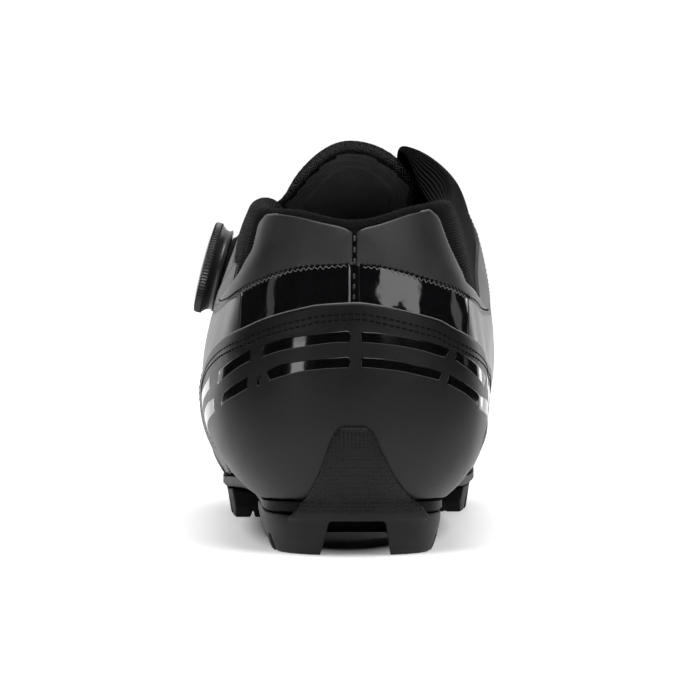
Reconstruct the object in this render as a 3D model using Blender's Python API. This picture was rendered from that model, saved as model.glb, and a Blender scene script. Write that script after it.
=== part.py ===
"""A left mountain-bike cycling shoe: hollow upper, tongue, footbed, rigid sole
plate, rubber treads and a lateral lace dial.  Metres, +Z up, toe toward +Y,
medial side toward +X, standing on its sole."""
import math

import bmesh
import bpy
import numpy as np
from mathutils import Matrix, Vector

# ---------------------------------------------------------------- main sizes
LENGTH = 0.288          # heel back to toe tip of the upper
BALL_WIDTH = 0.1035     # over the ball of the foot
HEEL_HEIGHT = 0.1022    # floor to the collar at the back of the heel
INSTEP = 0.1290         # floor to the top of the tongue
WALL = 0.0022           # upper wall
PAD = 0.0056            # extra thickness of the padded collar
GAP = 0.0003            # clearance between touching pieces
SHIFT_X, SHIFT_Y = 0.00144, -0.142765   # moves the box's centre to the origin

# The base size that the tables below are written in (millimetres)
BASE_LENGTH, BASE_BALL, BASE_HEEL, BASE_INSTEP = 288.0, 103.5, 102.2, 129.0
KX, KY = BALL_WIDTH / BASE_BALL, LENGTH / BASE_LENGTH
K_HEEL, K_INSTEP = HEEL_HEIGHT / BASE_HEEL, INSTEP / BASE_INSTEP

# --------------------------------------------------------- sections of the last
# One row for each section around the foot, from the heel back along the lateral
# side (-X) to the toe, and back along the medial side.  foot = feather edge at
# the sole, wide = the widest line, top = collar or throat edge.  tuck = degrees
# above the floor at which the wall leaves the sole, crown = degrees from upright
# at which it meets the top edge, rise and reach = handles at wide and at top.
COLUMNS = ("name", "foot_x", "foot_y", "wide_x", "wide_y", "wide_z",
           "top_x", "top_y", "top_z", "tuck", "crown", "rise", "reach")
SECTIONS = [
    ("heel_back",     1.5,   8.5,   1.5,   0.0, 46.5,   1.5,   6.5,  99.3, 52, 10, 15, 17),
    ("heel_lat_1",  -15.0,  12.5, -20.5,   5.5, 46.3, -15.5,  12.0, 102.3, 46, 13, 15, 17),
    ("heel_lat_2",  -25.0,  25.0, -37.0,  21.0, 45.9, -27.0,  28.0, 103.5, 36, 18, 15, 17),
    ("heel_lat_3",  -27.8,  46.0, -44.6,  47.0, 45.3, -30.5,  51.0, 105.2, 34, 22, 16, 18),
    ("ankle_lat",   -29.6,  74.0, -47.2,  78.0, 48.5, -30.8,  76.0, 106.9, 38, 26, 17, 18),
    ("cuff_lat",    -31.8,  96.0, -48.0, 101.0, 51.9, -28.4,  96.5, 108.4, 44, 34, 17, 17),
    ("quarter_lat", -34.6, 118.0, -48.6, 121.0, 50.4, -24.6, 114.0, 106.0, 50, 46, 18, 18),
    ("waist_lat",   -39.0, 148.0, -50.6, 151.0, 46.6, -17.4, 140.0,  94.7, 55, 60, 17, 19),
    ("ball_lat",    -43.6, 187.0, -53.2, 189.0, 40.7, -12.6, 166.0,  82.6, 58, 68, 17, 22),
    ("fore_lat",    -42.6, 222.0, -50.4, 225.0, 37.6,  -9.6, 186.0,  73.7, 60, 70, 14, 25),
    ("toe_lat",     -29.4, 257.0, -35.4, 262.0, 35.0,  -5.6, 198.5,  69.0, 66, 72, 18, 32),
    ("toe_tip",       6.0, 284.0,   6.4, 288.0, 35.0,   0.6, 203.0,  67.8, 66, 72, 20, 40),
    ("toe_med",      34.0, 263.0,  39.2, 267.0, 35.6,   6.4, 199.0,  69.0, 66, 72, 18, 34),
    ("fore_med",     43.4, 232.0,  49.4, 235.0, 39.6,   9.8, 187.0,  73.1, 62, 70, 15, 26),
    ("ball_med",     42.0, 199.0,  50.0, 201.0, 42.6,  12.6, 168.0,  81.8, 60, 70, 18, 22),
    ("waist_med",    34.0, 154.0,  48.0, 154.0, 50.5,  15.4, 142.0,  94.7, 55, 70, 19, 20),
    ("quarter_med",  30.6, 126.0,  47.6, 127.0, 56.2,  17.6, 119.0, 111.8, 50, 74, 20, 21),
    ("tip_med",      29.2, 104.0,  47.2, 108.0, 57.7,  17.6, 103.0, 126.8, 46, 80, 20, 23),
    ("cuff_med",     28.6,  86.0,  45.8,  92.0, 56.1,  28.2,  91.5, 117.1, 42, 52, 19, 20),
    ("ankle_med",    28.4,  66.0,  44.4,  72.0, 52.6,  32.4,  75.0, 107.8, 38, 28, 17, 18),
    ("heel_med_3",   28.2,  44.0,  42.6,  47.0, 47.3,  31.4,  51.0, 106.6, 36, 22, 16, 18),
    ("heel_med_2",   27.0,  24.5,  38.6,  21.0, 45.9,  29.4,  28.0, 105.4, 38, 18, 15, 17),
    ("heel_med_1",   17.6,  12.4,  23.2,   5.5, 46.3,  18.4,  12.0, 103.2, 46, 13, 15, 17),
]

# The top of the sole plate's rim, from heel to toe: (distance, height)
RIM_LINE = [(0, 17.3), (30, 16), (60, 15.7), (90, 16.8), (120, 16.8), (155, 15.3), (190, 13.5), (215, 14), (240, 17), (262, 20.6), (290, 26.5)]
# The underside of the plate along its middle: (distance, height)
KEEL_LINE = [(0, 12.4), (30, 12.4), (62, 12.4), (84, 12.6), (112, 12.8), (138, 10.6), (158, 8.1),
             (165, 8.0), (229, 8.0), (240, 9.6), (262, 14.6), (290, 22.2)]
DISH_LINE = [(0, 1.0), (30, 1.6), (80, 1.8), (120, 1.4), (165, 2.6), (225, 2.6), (262, 1.6), (290, 0.4)]
FLARE_LINE = [(0, 0.0), (60, 0.0), (110, 0.5), (160, 1.2), (290, 1.4)]


def line(table, y_mm):
    """A smooth height or width along the shoe from a short table."""
    pts = np.array(table, float)
    return _natural(pts[:, 0], pts[:, 1], np.asarray(y_mm, float))


def _natural(x, f, q):
    """Piecewise cubic through the points without overshoot."""
    h, d = np.diff(x), np.diff(f) / np.diff(x)
    m = np.empty(len(x))
    m[0], m[-1] = d[0], d[-1]
    same = d[:-1] * d[1:] > 0
    w1, w2 = 2 * h[1:] + h[:-1], h[1:] + 2 * h[:-1]
    safe = np.where(same, d[:-1], 1.0), np.where(same, d[1:], 1.0)
    m[1:-1] = np.where(same, (w1 + w2) / (w1 / safe[0] + w2 / safe[1]), 0.0)
    q = np.clip(q, x[0], x[-1])
    i = np.clip(np.searchsorted(x, q, side="right") - 1, 0, len(x) - 2)
    t = (q - x[i]) / h[i]
    return ((1 + 2 * t) * (1 - t) ** 2 * f[i] + t * (1 - t) ** 2 * h[i] * m[i]
            + t * t * (3 - 2 * t) * f[i + 1] + t * t * (t - 1) * h[i] * m[i + 1])


def _periodic(x, f):
    """Second derivatives of the closed cubic spline through f at knots x in 0..1."""
    n = len(x)
    h = np.diff(np.append(x, x[0] + 1.0))
    a, b = np.zeros((n, n)), np.zeros((n, f.shape[1]))
    for i in range(n):
        p, q = (i - 1) % n, (i + 1) % n
        a[i, p] += h[p]
        a[i, i] += 2 * (h[p] + h[i])
        a[i, q] += h[i]
        b[i] = 6 * ((f[q] - f[i]) / h[i] - (f[i] - f[p]) / h[p])
    return h, np.linalg.solve(a, b)


def _spline_setup():
    rows = np.array([r[1:] for r in SECTIONS], float)
    wide = rows[:, 2:5]
    top = rows[:, 5:8]
    mid = 0.5 * (wide + top)
    step = np.linalg.norm(np.roll(mid, -1, 0) - mid, axis=1)
    s = np.concatenate([[0], np.cumsum(step)[:-1]]) / step.sum()
    h, m = _periodic(s, rows)
    return s, rows, h, m


_S, _ROWS, _H, _M = _spline_setup()


def section(s):
    """The columns of SECTIONS at any place s in 0..1 around the foot."""
    s = np.mod(np.asarray(s, float), 1.0)
    i = np.clip(np.searchsorted(_S, s, side="right") - 1, 0, len(_S) - 1)
    j = (i + 1) % len(_S)
    h = _H[i][..., None]
    t = ((s - _S[i]) / _H[i])[..., None]
    return (_ROWS[i] * (1 - t) + _ROWS[j] * t
            + h * h / 6 * (_M[i] * ((1 - t) ** 3 - (1 - t)) + _M[j] * (t ** 3 - t)))


def station(name):
    return _S[[r[0] for r in SECTIONS].index(name)]


V_WIDE = 0.32           # the share of v below the widest line


def upper_point(s, v):
    """The upper's outer face, in millimetres before grading: s around, v up."""
    s, v = np.broadcast_arrays(np.asarray(s, float), np.asarray(v, float))
    c = section(s)
    fx, fy, wx, wy, wz, tx, ty, tz, tuck, crown, rise, reach = np.moveaxis(c, -1, 0)
    foot = np.stack([fx, fy, line(RIM_LINE, fy) + GAP * 1000], -1)
    wide = np.stack([wx, wy, wz], -1)
    top = np.stack([tx, ty, tz], -1)
    up = np.array([0.0, 0.0, 1.0])
    out = wide - foot
    drop = out[..., 2:3].copy()
    out[..., 2] = 0
    flat = np.linalg.norm(out, axis=-1, keepdims=True)
    out = out / np.maximum(flat, 1e-6)
    tk = np.radians(tuck)[..., None]
    h0 = 0.42 * np.sqrt(flat ** 2 + drop ** 2)
    f1 = foot + (out * np.cos(tk) + up * np.sin(tk)) * h0 * 0.9
    f2 = wide - up * drop * 0.42
    inward = top - wide
    inward[..., 2] = 0
    inward = inward / np.maximum(np.linalg.norm(inward, axis=-1, keepdims=True), 1e-6)
    cr = np.radians(crown)[..., None]
    w1 = wide + up * rise[..., None]
    w2 = top - (inward * np.sin(cr) + up * np.cos(cr)) * reach[..., None]
    t = np.clip(v / V_WIDE, 0, 1)[..., None]
    low = ((1 - t) ** 3 * foot + 3 * (1 - t) ** 2 * t * f1 + 3 * (1 - t) * t * t * f2 + t ** 3 * wide)
    t = np.clip((v - V_WIDE) / (1 - V_WIDE), 0, None)[..., None]
    high = ((1 - t) ** 3 * wide + 3 * (1 - t) ** 2 * t * w1 + 3 * (1 - t) * t * t * w2 + t ** 3 * top)
    return np.where((v < V_WIDE)[..., None], low, high)


def upper_normal(s, v):
    """The outward unit normal of the outer face."""
    e = 2e-4
    s, v = np.asarray(s, float), np.asarray(v, float)
    lo, hi = np.maximum(v - e, 0), np.minimum(v + e, 1)
    ds = upper_point(s + e, v) - upper_point(s - e, v)
    dv = upper_point(s, hi) - upper_point(s, lo)
    n = np.cross(dv, ds)
    n = n / np.maximum(np.linalg.norm(n, axis=-1, keepdims=True), 1e-12)
    return n


def collar_share(s):
    """1 along the padded collar, 0 along the throat and the toe."""
    s = np.mod(np.asarray(s, float), 1.0)
    a, b = station("cuff_lat"), station("quarter_lat")
    c, d = station("tip_med"), station("cuff_med")
    lat = np.clip((b - s) / (b - a), 0, 1)
    med = np.clip((s - c) / (d - c), 0, 1)
    k = np.maximum(np.where(s < 0.5, lat, 0), np.where(s >= 0.5, med, 0))
    return k * k * (3 - 2 * k)


def wall(s, v):
    """The wall's thickness in millimetres."""
    k = np.clip((np.asarray(v, float) - 0.62) / 0.30, 0, 1)
    return 1000 * (WALL + PAD * collar_share(s) * k * k * (3 - 2 * k))


def upper_inner(s, v):
    """The inner face: the outer face moved in by the wall."""
    p = upper_point(s, v) - upper_normal(s, v) * wall(s, v)[..., None]
    low = np.clip(1 - np.asarray(v, float) / 0.05, 0, 1)
    rim = line(RIM_LINE, p[..., 1]) + GAP * 1000
    p[..., 2] = p[..., 2] * (1 - low) + rim * low
    return p


def grade(p):
    """Millimetres of the base size to metres of this shoe, in its own frame."""
    p = np.asarray(p, float)
    front = np.clip((p[..., 1] - 30.0) / 70.0, 0, 1)
    kz = K_HEEL + (K_INSTEP - K_HEEL) * front * front * (3 - 2 * front)
    return np.stack([p[..., 0] * KX + SHIFT_X, p[..., 1] * KY + SHIFT_Y, p[..., 2] * kz], -1)


def feather(n=720):
    """The feather edge in plan, and its lateral and medial x at any y."""
    s = np.arange(n) / n
    c = section(s)[:, :2]
    t = np.roll(c, -1, 0) - np.roll(c, 1, 0)
    nrm = np.stack([-t[:, 1], t[:, 0]], -1)
    nrm = nrm / np.linalg.norm(nrm, axis=1, keepdims=True)
    return s, c, nrm


def outline(grow=0.0, flare=True):
    """(y, lateral x, medial x) of the sole outline grown by some millimetres."""
    s, c, nrm = feather()
    centre = np.array([0.0, 130.0])
    if ((c - centre) * nrm).sum() < 0:
        nrm = -nrm
    extra = line(FLARE_LINE, c[:, 1]) if flare else 0.0
    p = c + nrm * (grow + extra)[..., None] if np.ndim(grow + extra) else c + nrm * grow
    i0, i1 = np.argmin(p[:, 1]), np.argmax(p[:, 1])
    lat = p[i0:i1 + 1] if i0 < i1 else np.concatenate([p[i0:], p[:i1 + 1]])
    med = np.concatenate([p[i1:], p[:i0 + 1]])[::-1] if i0 < i1 else p[i1:i0 + 1][::-1]
    lat = lat[np.argsort(lat[:, 1])]
    med = med[np.argsort(med[:, 1])]
    return lat, med


def rows_along(lat, med, n, trim=4.0):
    """Cross rows of an outline, close together at both ends: y, lateral x, medial x."""
    y0, y1 = max(lat[0, 1], med[0, 1]), min(lat[-1, 1], med[-1, 1])
    th = np.radians(np.linspace(trim, 180 - trim, n))
    y = y0 + (y1 - y0) * (1 - np.cos(th)) / 2
    return y, np.interp(y, lat[:, 1], lat[:, 0]), np.interp(y, med[:, 1], med[:, 0])


def plate_top(x, y, xl, xm):
    """The top of the sole plate: a flat rim with a shallow dish inside it."""
    edge = np.minimum(x - xl, xm - x)
    k = np.clip((edge - 4.0) / 10.0, 0, 1)
    return line(RIM_LINE, y) - line(DISH_LINE, y) * k * k * (3 - 2 * k)


# ---------------------------------------------------------------- tongue
# Along the middle: the outer face's height, the bend across and the half width
TONGUE_CROWN = [(100, 134.3), (106, 128.4), (120, 112.8), (140, 96.9), (160, 84.6), (180, 74.5), (200, 65.2), (216, 58.6)]
TONGUE_ARCH = [(100, 0.026), (106, 0.026), (120, 0.024), (140, 0.018), (160, 0.015), (190, 0.012),
               (216, 0.011)]
TONGUE_HALF = [(100, 22.2), (106, 22.2), (118, 20.8), (130, 21.4), (160, 21.0), (190, 18.0), (216, 14.0)]
TONGUE_FROM, TONGUE_TO = 105.4, 214.0


def tongue_top(x, y):
    """The tongue's outer face, flatter on the medial side at the top."""
    k = line(TONGUE_ARCH, y)
    k = k * (1 - 0.25 * np.clip((118 - np.asarray(y, float)) / 12, 0, 1) * (np.asarray(x) > 0))
    return line(TONGUE_CROWN, y) - k * np.asarray(x, float) ** 2


def tongue_face(u, t):
    """A point of the tongue's outer face: u -1..1 across, t 0..1 from the top."""
    y = TONGUE_FROM + (TONGUE_TO - TONGUE_FROM) * t
    x = line(TONGUE_HALF, y) * u
    y = y + 4.0 * u * u * np.clip(1 - t / 0.2, 0, 1) ** 2
    return np.stack([x, y, tongue_top(x, y)], -1)


def tongue_normal(u, t):
    e = 1e-3
    du = tongue_face(np.minimum(u + e, 1), t) - tongue_face(np.maximum(u - e, -1), t)
    dt = tongue_face(u, np.minimum(t + e, 1)) - tongue_face(u, np.maximum(t - e, 0))
    n = np.cross(du, dt)
    return n / np.linalg.norm(n, axis=-1, keepdims=True)


# ---------------------------------------------------------------- end of forms

# ------------------------------------------------------------------ helpers
for _o in list(bpy.data.objects):
    bpy.data.objects.remove(_o, do_unlink=True)


def collection(name):
    c = bpy.data.collections.get(name) or bpy.data.collections.new(name)
    if name not in [k.name for k in bpy.context.scene.collection.children]:
        bpy.context.scene.collection.children.link(c)
    return c


SHOE = collection("cycling_shoe")
CUTTERS = collection("cutters")


def material(name, colour, rough, metal=0.0):
    m = bpy.data.materials.new(name)
    m.use_nodes = True
    b = m.node_tree.nodes["Principled BSDF"]
    b.inputs["Base Color"].default_value = (*colour, 1.0)
    b.inputs["Roughness"].default_value = rough
    b.inputs["Metallic"].default_value = metal
    m.diffuse_color = (*colour, 1.0)
    return m


MICROFIBRE = material("matte_microfibre", (0.030, 0.030, 0.032), 0.55)
TEXTILE = material("ribbed_textile", (0.012, 0.012, 0.013), 0.9)
FOAM = material("insole_foam", (0.035, 0.035, 0.038), 0.85)
NYLON = material("black_nylon", (0.020, 0.020, 0.021), 0.32)
RUBBER = material("black_rubber", (0.022, 0.022, 0.023), 0.75)
KNOB = material("knob_plastic", (0.014, 0.014, 0.015), 0.38)
STEEL = material("coated_steel_cable", (0.10, 0.10, 0.105), 0.35, 0.8)


def add_mesh(name, verts, faces, mat, smooth=True, coll=None):
    """A closed body from points and faces, with its faces turned outward."""
    me = bpy.data.meshes.new(name)
    bm = bmesh.new()
    vs = [bm.verts.new(v) for v in verts]
    for f in faces:
        bm.faces.new([vs[i] for i in f])
    bmesh.ops.recalc_face_normals(bm, faces=bm.faces)
    if bm.calc_volume(signed=True) < 0:
        bmesh.ops.reverse_faces(bm, faces=bm.faces)
    bm.to_mesh(me)
    bm.free()
    ob = bpy.data.objects.new(name, me)
    (coll or SHOE).objects.link(ob)
    me.materials.append(mat)
    if smooth:
        me.shade_smooth()
        me.set_sharp_from_angle(angle=math.radians(40))
    return ob


def ring_faces(rows, cols, wrap_rows=False):
    out = []
    for r in range(rows if wrap_rows else rows - 1):
        q = (r + 1) % rows
        for c in range(cols):
            d = (c + 1) % cols
            out.append((r * cols + c, r * cols + d, q * cols + d, q * cols + c))
    return out


def loft(name, rings, mat, **kw):
    """A solid through closed rings of equal count, with flat ends."""
    rings = np.asarray(rings, float)
    n, k = rings.shape[:2]
    faces = ring_faces(n, k)
    faces += [tuple(range(k)), tuple(range((n - 1) * k, n * k))]
    return add_mesh(name, rings.reshape(-1, 3), faces, mat, **kw)


def boolean(ob, cutter, how="DIFFERENCE"):
    m = ob.modifiers.new(how.lower(), "BOOLEAN")
    m.operation = how
    m.object = cutter
    m.solver = "EXACT"
    cutter.hide_render = True
    cutter.display_type = "WIRE"
    return m


def place(mm):
    """One point in base millimetres to the shoe's frame."""
    return Vector(grade(np.asarray(mm, float)))


# -------------------------------------------------------------------- upper
UPPER_ROUND, UPPER_ROWS = 60, 14


def build_upper():
    s = np.arange(UPPER_ROUND) / UPPER_ROUND
    low = np.linspace(0, V_WIDE, 6)
    v = np.concatenate([low, V_WIDE + (1 - V_WIDE) * np.linspace(0, 1, UPPER_ROWS - 5)[1:] ** 0.92])
    rows = [upper_point(s, np.full_like(s, k)) for k in v]
    inner = [upper_inner(s, np.full_like(s, k)) for k in v[::-1]]
    outer_top, inner_top = rows[-1], inner[0]
    up = upper_point(s, np.full_like(s, 1.0)) - upper_point(s, np.full_like(s, 0.985))
    up = up / np.linalg.norm(up, axis=1, keepdims=True)
    t = wall(s, 1.0)[:, None]
    rim = [outer_top + (inner_top - outer_top) * a + up * t * b
           for a, b in ((0.16, 0.24), (0.5, 0.36), (0.84, 0.24))]
    grid = np.array(rows + rim + inner)
    return add_mesh("upper", grade(grid).reshape(-1, 3),
                    ring_faces(len(grid), UPPER_ROUND, wrap_rows=True), MICROFIBRE)


# --------------------------------------------------------------- sole plate
PLATE_ROWS = 34
POCKET_HALF = 18.0
POCKET_FROM, POCKET_TO = 165.0, 229.0
SLOT_X, SLOT_WIDE, SLOT_LONG, SLOT_Y = 7.0, 5.0, 27.0, 196.0


def plate_ring(y, xl, xm):
    half = 0.5 * (xm - xl)
    zr = float(line(RIM_LINE, y))
    flat = min(POCKET_HALF, 0.60 * half)
    mid = 0.0 if flat == POCKET_HALF else 0.5 * (xl + xm)
    tops = [xl, xl + 0.10 * half, xl + 0.28 * half, mid - 0.4 * half, mid, mid + 0.4 * half,
            xm - 0.28 * half, xm - 0.10 * half, xm]
    ring = [(x, y, float(plate_top(x, y, xl, xm))) for x in tops]
    zb = float(line(KEEL_LINE, y))
    edge = max(zr - 3.6, zb + 0.3)
    under = [(xm, edge + 0.6), (xm - 0.9, edge - 0.2),
             ((mid + flat + xm) / 2 + 0.5, zb + 0.42 * (edge - zb)),
             (mid + flat, zb), (mid + flat / 2, zb), (mid, zb), (mid - flat / 2, zb), (mid - flat, zb),
             ((mid - flat + xl) / 2 - 0.5, zb + 0.42 * (edge - zb)),
             (xl + 0.9, edge - 0.2), (xl, edge + 0.6)]
    return ring + [(x, y, z) for x, z in under]


def slot_cutter(name, x):
    """A stadium prism along Z."""
    pts = []
    for side in (1, -1):
        for k in range(9):
            a = math.pi * k / 8 + (0 if side > 0 else math.pi)
            pts.append((x + SLOT_WIDE / 2 * math.cos(a),
                        SLOT_Y + side * (SLOT_LONG - SLOT_WIDE) / 2 + SLOT_WIDE / 2 * math.sin(a)))
    rings = [[(px, py, z) for px, py in pts] for z in (4.0, 26.0)]
    return loft(name, grade(np.array(rings)), NYLON, coll=CUTTERS)


def build_plate():
    lat, med = outline(0.0)
    ys, xls, xms = rows_along(lat, med, PLATE_ROWS)
    ob = loft("sole_plate", grade(np.array([plate_ring(*r) for r in zip(ys, xls, xms)])), NYLON)
    for k, x in enumerate((-SLOT_X, SLOT_X)):
        boolean(ob, slot_cutter("cut_slot_%d" % (k + 1), x))
    return ob


# ------------------------------------------------------------------- insole
INSOLE_THICK = 4.0


def build_insole():
    s = np.arange(720) / 720
    rim = upper_inner(s, np.zeros_like(s))[:, :2]
    rim2 = upper_inner(s, np.full_like(s, 0.05))[:, :2]
    c = rim * 0.5 + rim2 * 0.5
    centre = np.array([0.0, 140.0])
    t = np.roll(rim, -1, 0) - np.roll(rim, 1, 0)
    n = np.stack([-t[:, 1], t[:, 0]], -1)
    n /= np.linalg.norm(n, axis=1, keepdims=True)
    if ((rim - centre) * n).sum() < 0:
        n = -n
    p = rim - n * 1.5
    i0, i1 = np.argmin(p[:, 1]), np.argmax(p[:, 1])
    lat = p[i0:i1 + 1] if i0 < i1 else np.concatenate([p[i0:], p[:i1 + 1]])
    med = np.concatenate([p[i1:], p[:i0 + 1]]) if i0 < i1 else p[i1:i0 + 1]
    lat, med = lat[np.argsort(lat[:, 1])], med[np.argsort(med[:, 1])]
    plat, pmed = outline(0.0)
    ys, xls, xms = rows_along(lat, med, 26, 6.0)
    rings = []
    for y, xl, xm in zip(ys, xls, xms):
        pl = float(np.interp(y, plat[:, 1], plat[:, 0]))
        pm = float(np.interp(y, pmed[:, 1], pmed[:, 0]))
        half = 0.5 * (pm - pl)
        cols = np.array([c[0] for c in plate_ring(y, pl, pm)[:9]])
        tops = np.array([c[2] for c in plate_ring(y, pl, pm)[:9]])
        inside = cols[(cols > xl + 1.0) & (cols < xm - 1.0)][:5] if half > 12 else np.linspace(xl, xm, 7)[1:-1]
        if len(inside) != 5:
            inside = np.linspace(xl, xm, 7)[1:-1]
        x = np.concatenate([[xl], inside, [xm]])
        low = np.interp(x, cols, tops) + 0.55
        top = low + INSOLE_THICK * np.array([0.8, 1, 1, 1, 1, 1, 0.8])
        rings.append([(a, y, b) for a, b in zip(x, low)]
                     + [(a, y, b) for a, b in zip(x[::-1], top[::-1])])
    return loft("insole", grade(np.array(rings)), FOAM)


# ------------------------------------------------------------------- tongue
def build_tongue():
    rings = []
    for t in np.linspace(0, 1, 15) ** 1.15:
        u = np.linspace(-1, 1, 9)
        tt = np.full_like(u, t)
        face, n = tongue_face(u, tt), tongue_normal(u, tt)
        thick = (4.6 - 2.2 * t) * (1 - 0.5 * np.abs(u) ** 4) * (0.72 if t == 0 else 1)
        back = face - n * thick[:, None]
        rings.append(list(face) + list(back[::-1]))
    return loft("tongue", grade(np.array(rings)), TEXTILE)


# ------------------------------------------------------------------- treads
HEEL_TOP = 12.4 - 0.3
HEEL_GAP = ((-3.0, -9.8, 12.7), (10.6, -6.2, 10.6))      # z, lateral x, medial x
HEEL_BAR = 2.9                          # floor to the bar that closes the gap in front
HEEL_END = 79.0                         # where the heel rubber stops
HEEL_GROOVES = ((27.4, 31.6), (46.9, 51.1))
HEEL_GAP_TO = 63.0
#            height, growth of the outline at the sides, and at the back
HEEL_LEVELS = [(HEEL_TOP, -0.3, 1.6), (9.6, -0.4, 1.6), (4.6, -1.5, 0.6), (1.5, -2.5, -1.2), (0.0, -3.3, -3.2)]
# The guard on the back of the heel: height, lateral x, medial x, how proud it is
GUARD_ROWS = [(10.9, -19.0, 24.6, 1.6), (14.6, -15.8, 22.0, 2.4), (20.0, -12.0, 16.4, 2.8), (24.0, -10.0, 13.6, 2.8),
              (29.0, -8.0, 11.2, 2.7), (33.0, -6.8, 9.2, 2.6), (37.4, -4.9, 7.4, 2.3), (39.5, -3.2, 5.2, 1.4)]


def heel_face():
    """The upper's lower back, sampled as a surface y(x, z)."""
    s = np.concatenate([np.linspace(-0.16, 0.16, 161)])
    v = np.linspace(0, V_WIDE * 1.3, 90)
    S, V = np.meshgrid(s, v, indexing="ij")
    return upper_point(S, V)


_HEEL = heel_face()


def heel_y(x, z):
    """The y of the heel's outer face at a given x and height."""
    zz = max(z, float(_HEEL[:, 0, 2].max()) + 0.01)
    line_x, line_y = [], []
    for col in _HEEL:
        line_x.append(np.interp(zz, col[:, 2], col[:, 0]))
        line_y.append(np.interp(zz, col[:, 2], col[:, 1]))
    order = np.argsort(line_x)
    return float(np.interp(x, np.array(line_x)[order], np.array(line_y)[order]))


def box_cutter(name, x0, x1, y0, y1, z0, z1):
    ring = [[(x0, y0, z), (x1, y0, z), (x1, y1, z), (x0, y1, z)] for z in (z0, z1)]
    return loft(name, grade(np.array(ring)), RUBBER, coll=CUTTERS, smooth=False)


def gap_cutter(name, levels, y1):
    """A channel from behind the heel to y1, wider at the floor."""
    ring = [[(a, -20.0, z), (b, -20.0, z), (b, y1, z), (a, y1, z)] for z, a, b in levels]
    return loft(name, grade(np.array(ring)), RUBBER, coll=CUTTERS, smooth=False)


def build_heel_tread():
    rings = []
    for z, grow, back in HEEL_LEVELS:
        lat, med = outline(0.0, flare=False)
        ring = []
        for side, edge in ((-1, lat), (1, med[::-1])):
            lo = edge[:, 1].min()
            ys = lo + (HEEL_END - lo) * (1 - np.cos(np.radians(np.linspace(0, 90, 12))))
            ys = ys if side < 0 else ys[::-1]
            srt = edge[np.argsort(edge[:, 1])]
            xs = np.interp(ys, srt[:, 1], srt[:, 0])
            for x, y in zip(xs, ys):
                k = max(0.0, 1 - (y - lo) / 22.0)
                g = grow + (back - grow) * k * k
                r = np.array([x - 1.5, (y - 34.0)])
                if y > 34.0:
                    r = np.array([x - 1.5, 0.0])
                r = r / np.linalg.norm(r)
                ring.append((x + r[0] * g, y + r[1] * g, z))
        ring.pop()
        rings.append(ring)
    block = loft("heel_tread", grade(np.array(rings)), RUBBER)
    boolean(block, gap_cutter("cut_heel_gap", HEEL_GAP, HEEL_GAP_TO))
    (z0, a0, b0), (z1, a1, b1) = HEEL_GAP
    k = (HEEL_BAR - z0) / (z1 - z0)
    low = ((z0, a0 + 0.4, b0 - 0.4), (HEEL_BAR, a0 + (a1 - a0) * k + 0.4, b0 + (b1 - b0) * k - 0.4))
    boolean(block, gap_cutter("cut_heel_channel", low, HEEL_END + 12.0))
    for k, (a, b) in enumerate(HEEL_GROOVES):
        boolean(block, box_cutter("cut_heel_groove_%d" % (k + 1), -60.0, 60.0, a, b, -3.0, 5.2))
    rings = []
    for z, x0, x1, proud in GUARD_ROWS:
        xs = np.linspace(x0, x1, 7)
        zs = [z] * 7
        ys = np.array([heel_y(x, max(z, 17.6)) for x in xs]) - 0.65
        lift = proud * (1 - 0.45 * np.abs(np.linspace(-1, 1, 7)) ** 4)
        back = [(x, y, a) for x, y, a in zip(xs, ys, zs)]
        face = [(x, y - b, a) for x, y, a, b in zip(xs, ys, zs, lift)]
        rings.append(face + back[::-1])
    guard = loft("heel_guard_form", grade(np.array(rings)), RUBBER, coll=CUTTERS)
    boolean(block, guard, "UNION")
    return block


#                y, bottom: the lugs of the forefoot, from back to front
LATERAL_LUGS = [(163.0, 3.6), (165.5, 0.0), (177.5, 0.0), (178.3, 4.4), (182.2, 4.4), (183.0, 0.0),
                (195.0, 0.0), (195.8, 4.4), (199.7, 4.4), (200.5, 0.0), (212.5, 0.0), (213.3, 4.6),
                (217.2, 5.0), (218.0, 0.9), (229.0, 2.0), (231.0, 5.6)]
# The medial strip starts further forward
MEDIAL_LUGS = [(188.5, 3.6), (191.0, 0.0), (202.5, 0.0), (203.3, 4.4), (207.0, 4.4), (207.8, 0.0),
               (216.5, 0.0), (217.3, 4.8), (220.8, 5.0), (221.6, 1.2), (231.5, 2.4), (233.5, 5.8)]


def strip_tread(name, side, lugs, inner):
    """Lugs on one base along one edge of the forefoot."""
    lat, med = outline(-1.3)
    edge = lat if side < 0 else med
    full_l, full_m = outline(0.0)
    rings = []
    for y, zb in lugs:
        xo = float(np.interp(y, edge[:, 1], edge[:, 0]))
        xl = float(np.interp(y, full_l[:, 1], full_l[:, 0]))
        xm = float(np.interp(y, full_m[:, 1], full_m[:, 0]))
        zr = float(line(RIM_LINE, y)) - 3.6
        z0 = float(line(KEEL_LINE, y))
        xin = side * inner
        far, knee = (xl, (-POCKET_HALF + xl) / 2 - 0.5) if side < 0 else (xm, (POCKET_HALF + xm) / 2 + 0.5)
        zk = z0 + 0.42 * (zr - z0)

        def under(x):
            a, b, c = side * POCKET_HALF, knee, far - side * 0.9
            return float(np.interp(side * x, [side * a, side * b, side * c], [z0, zk, zr - 0.2])) - 0.6
        xk = knee
        ring = [(xin, y, under(xin)), (xk, y, under(xk)), (xo, y, under(xo)),
                (xo - side * 0.4, y, under(xo) - 1.8), (xo - side * 1.6, y, zb),
                (xin + side * 1.2, y, zb), (xin, y, under(xin) - 1.5)]
        rings.append(ring)
    return loft(name, grade(np.array(rings)), RUBBER)


TOE_LUGS = [(240.0, 4.4), (241.2, 2.0), (250.0, 3.4), (250.8, 8.2), (254.0, 9.2), (254.8, 5.0),
            (264.0, 7.6), (266.0, 12.0)]


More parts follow.
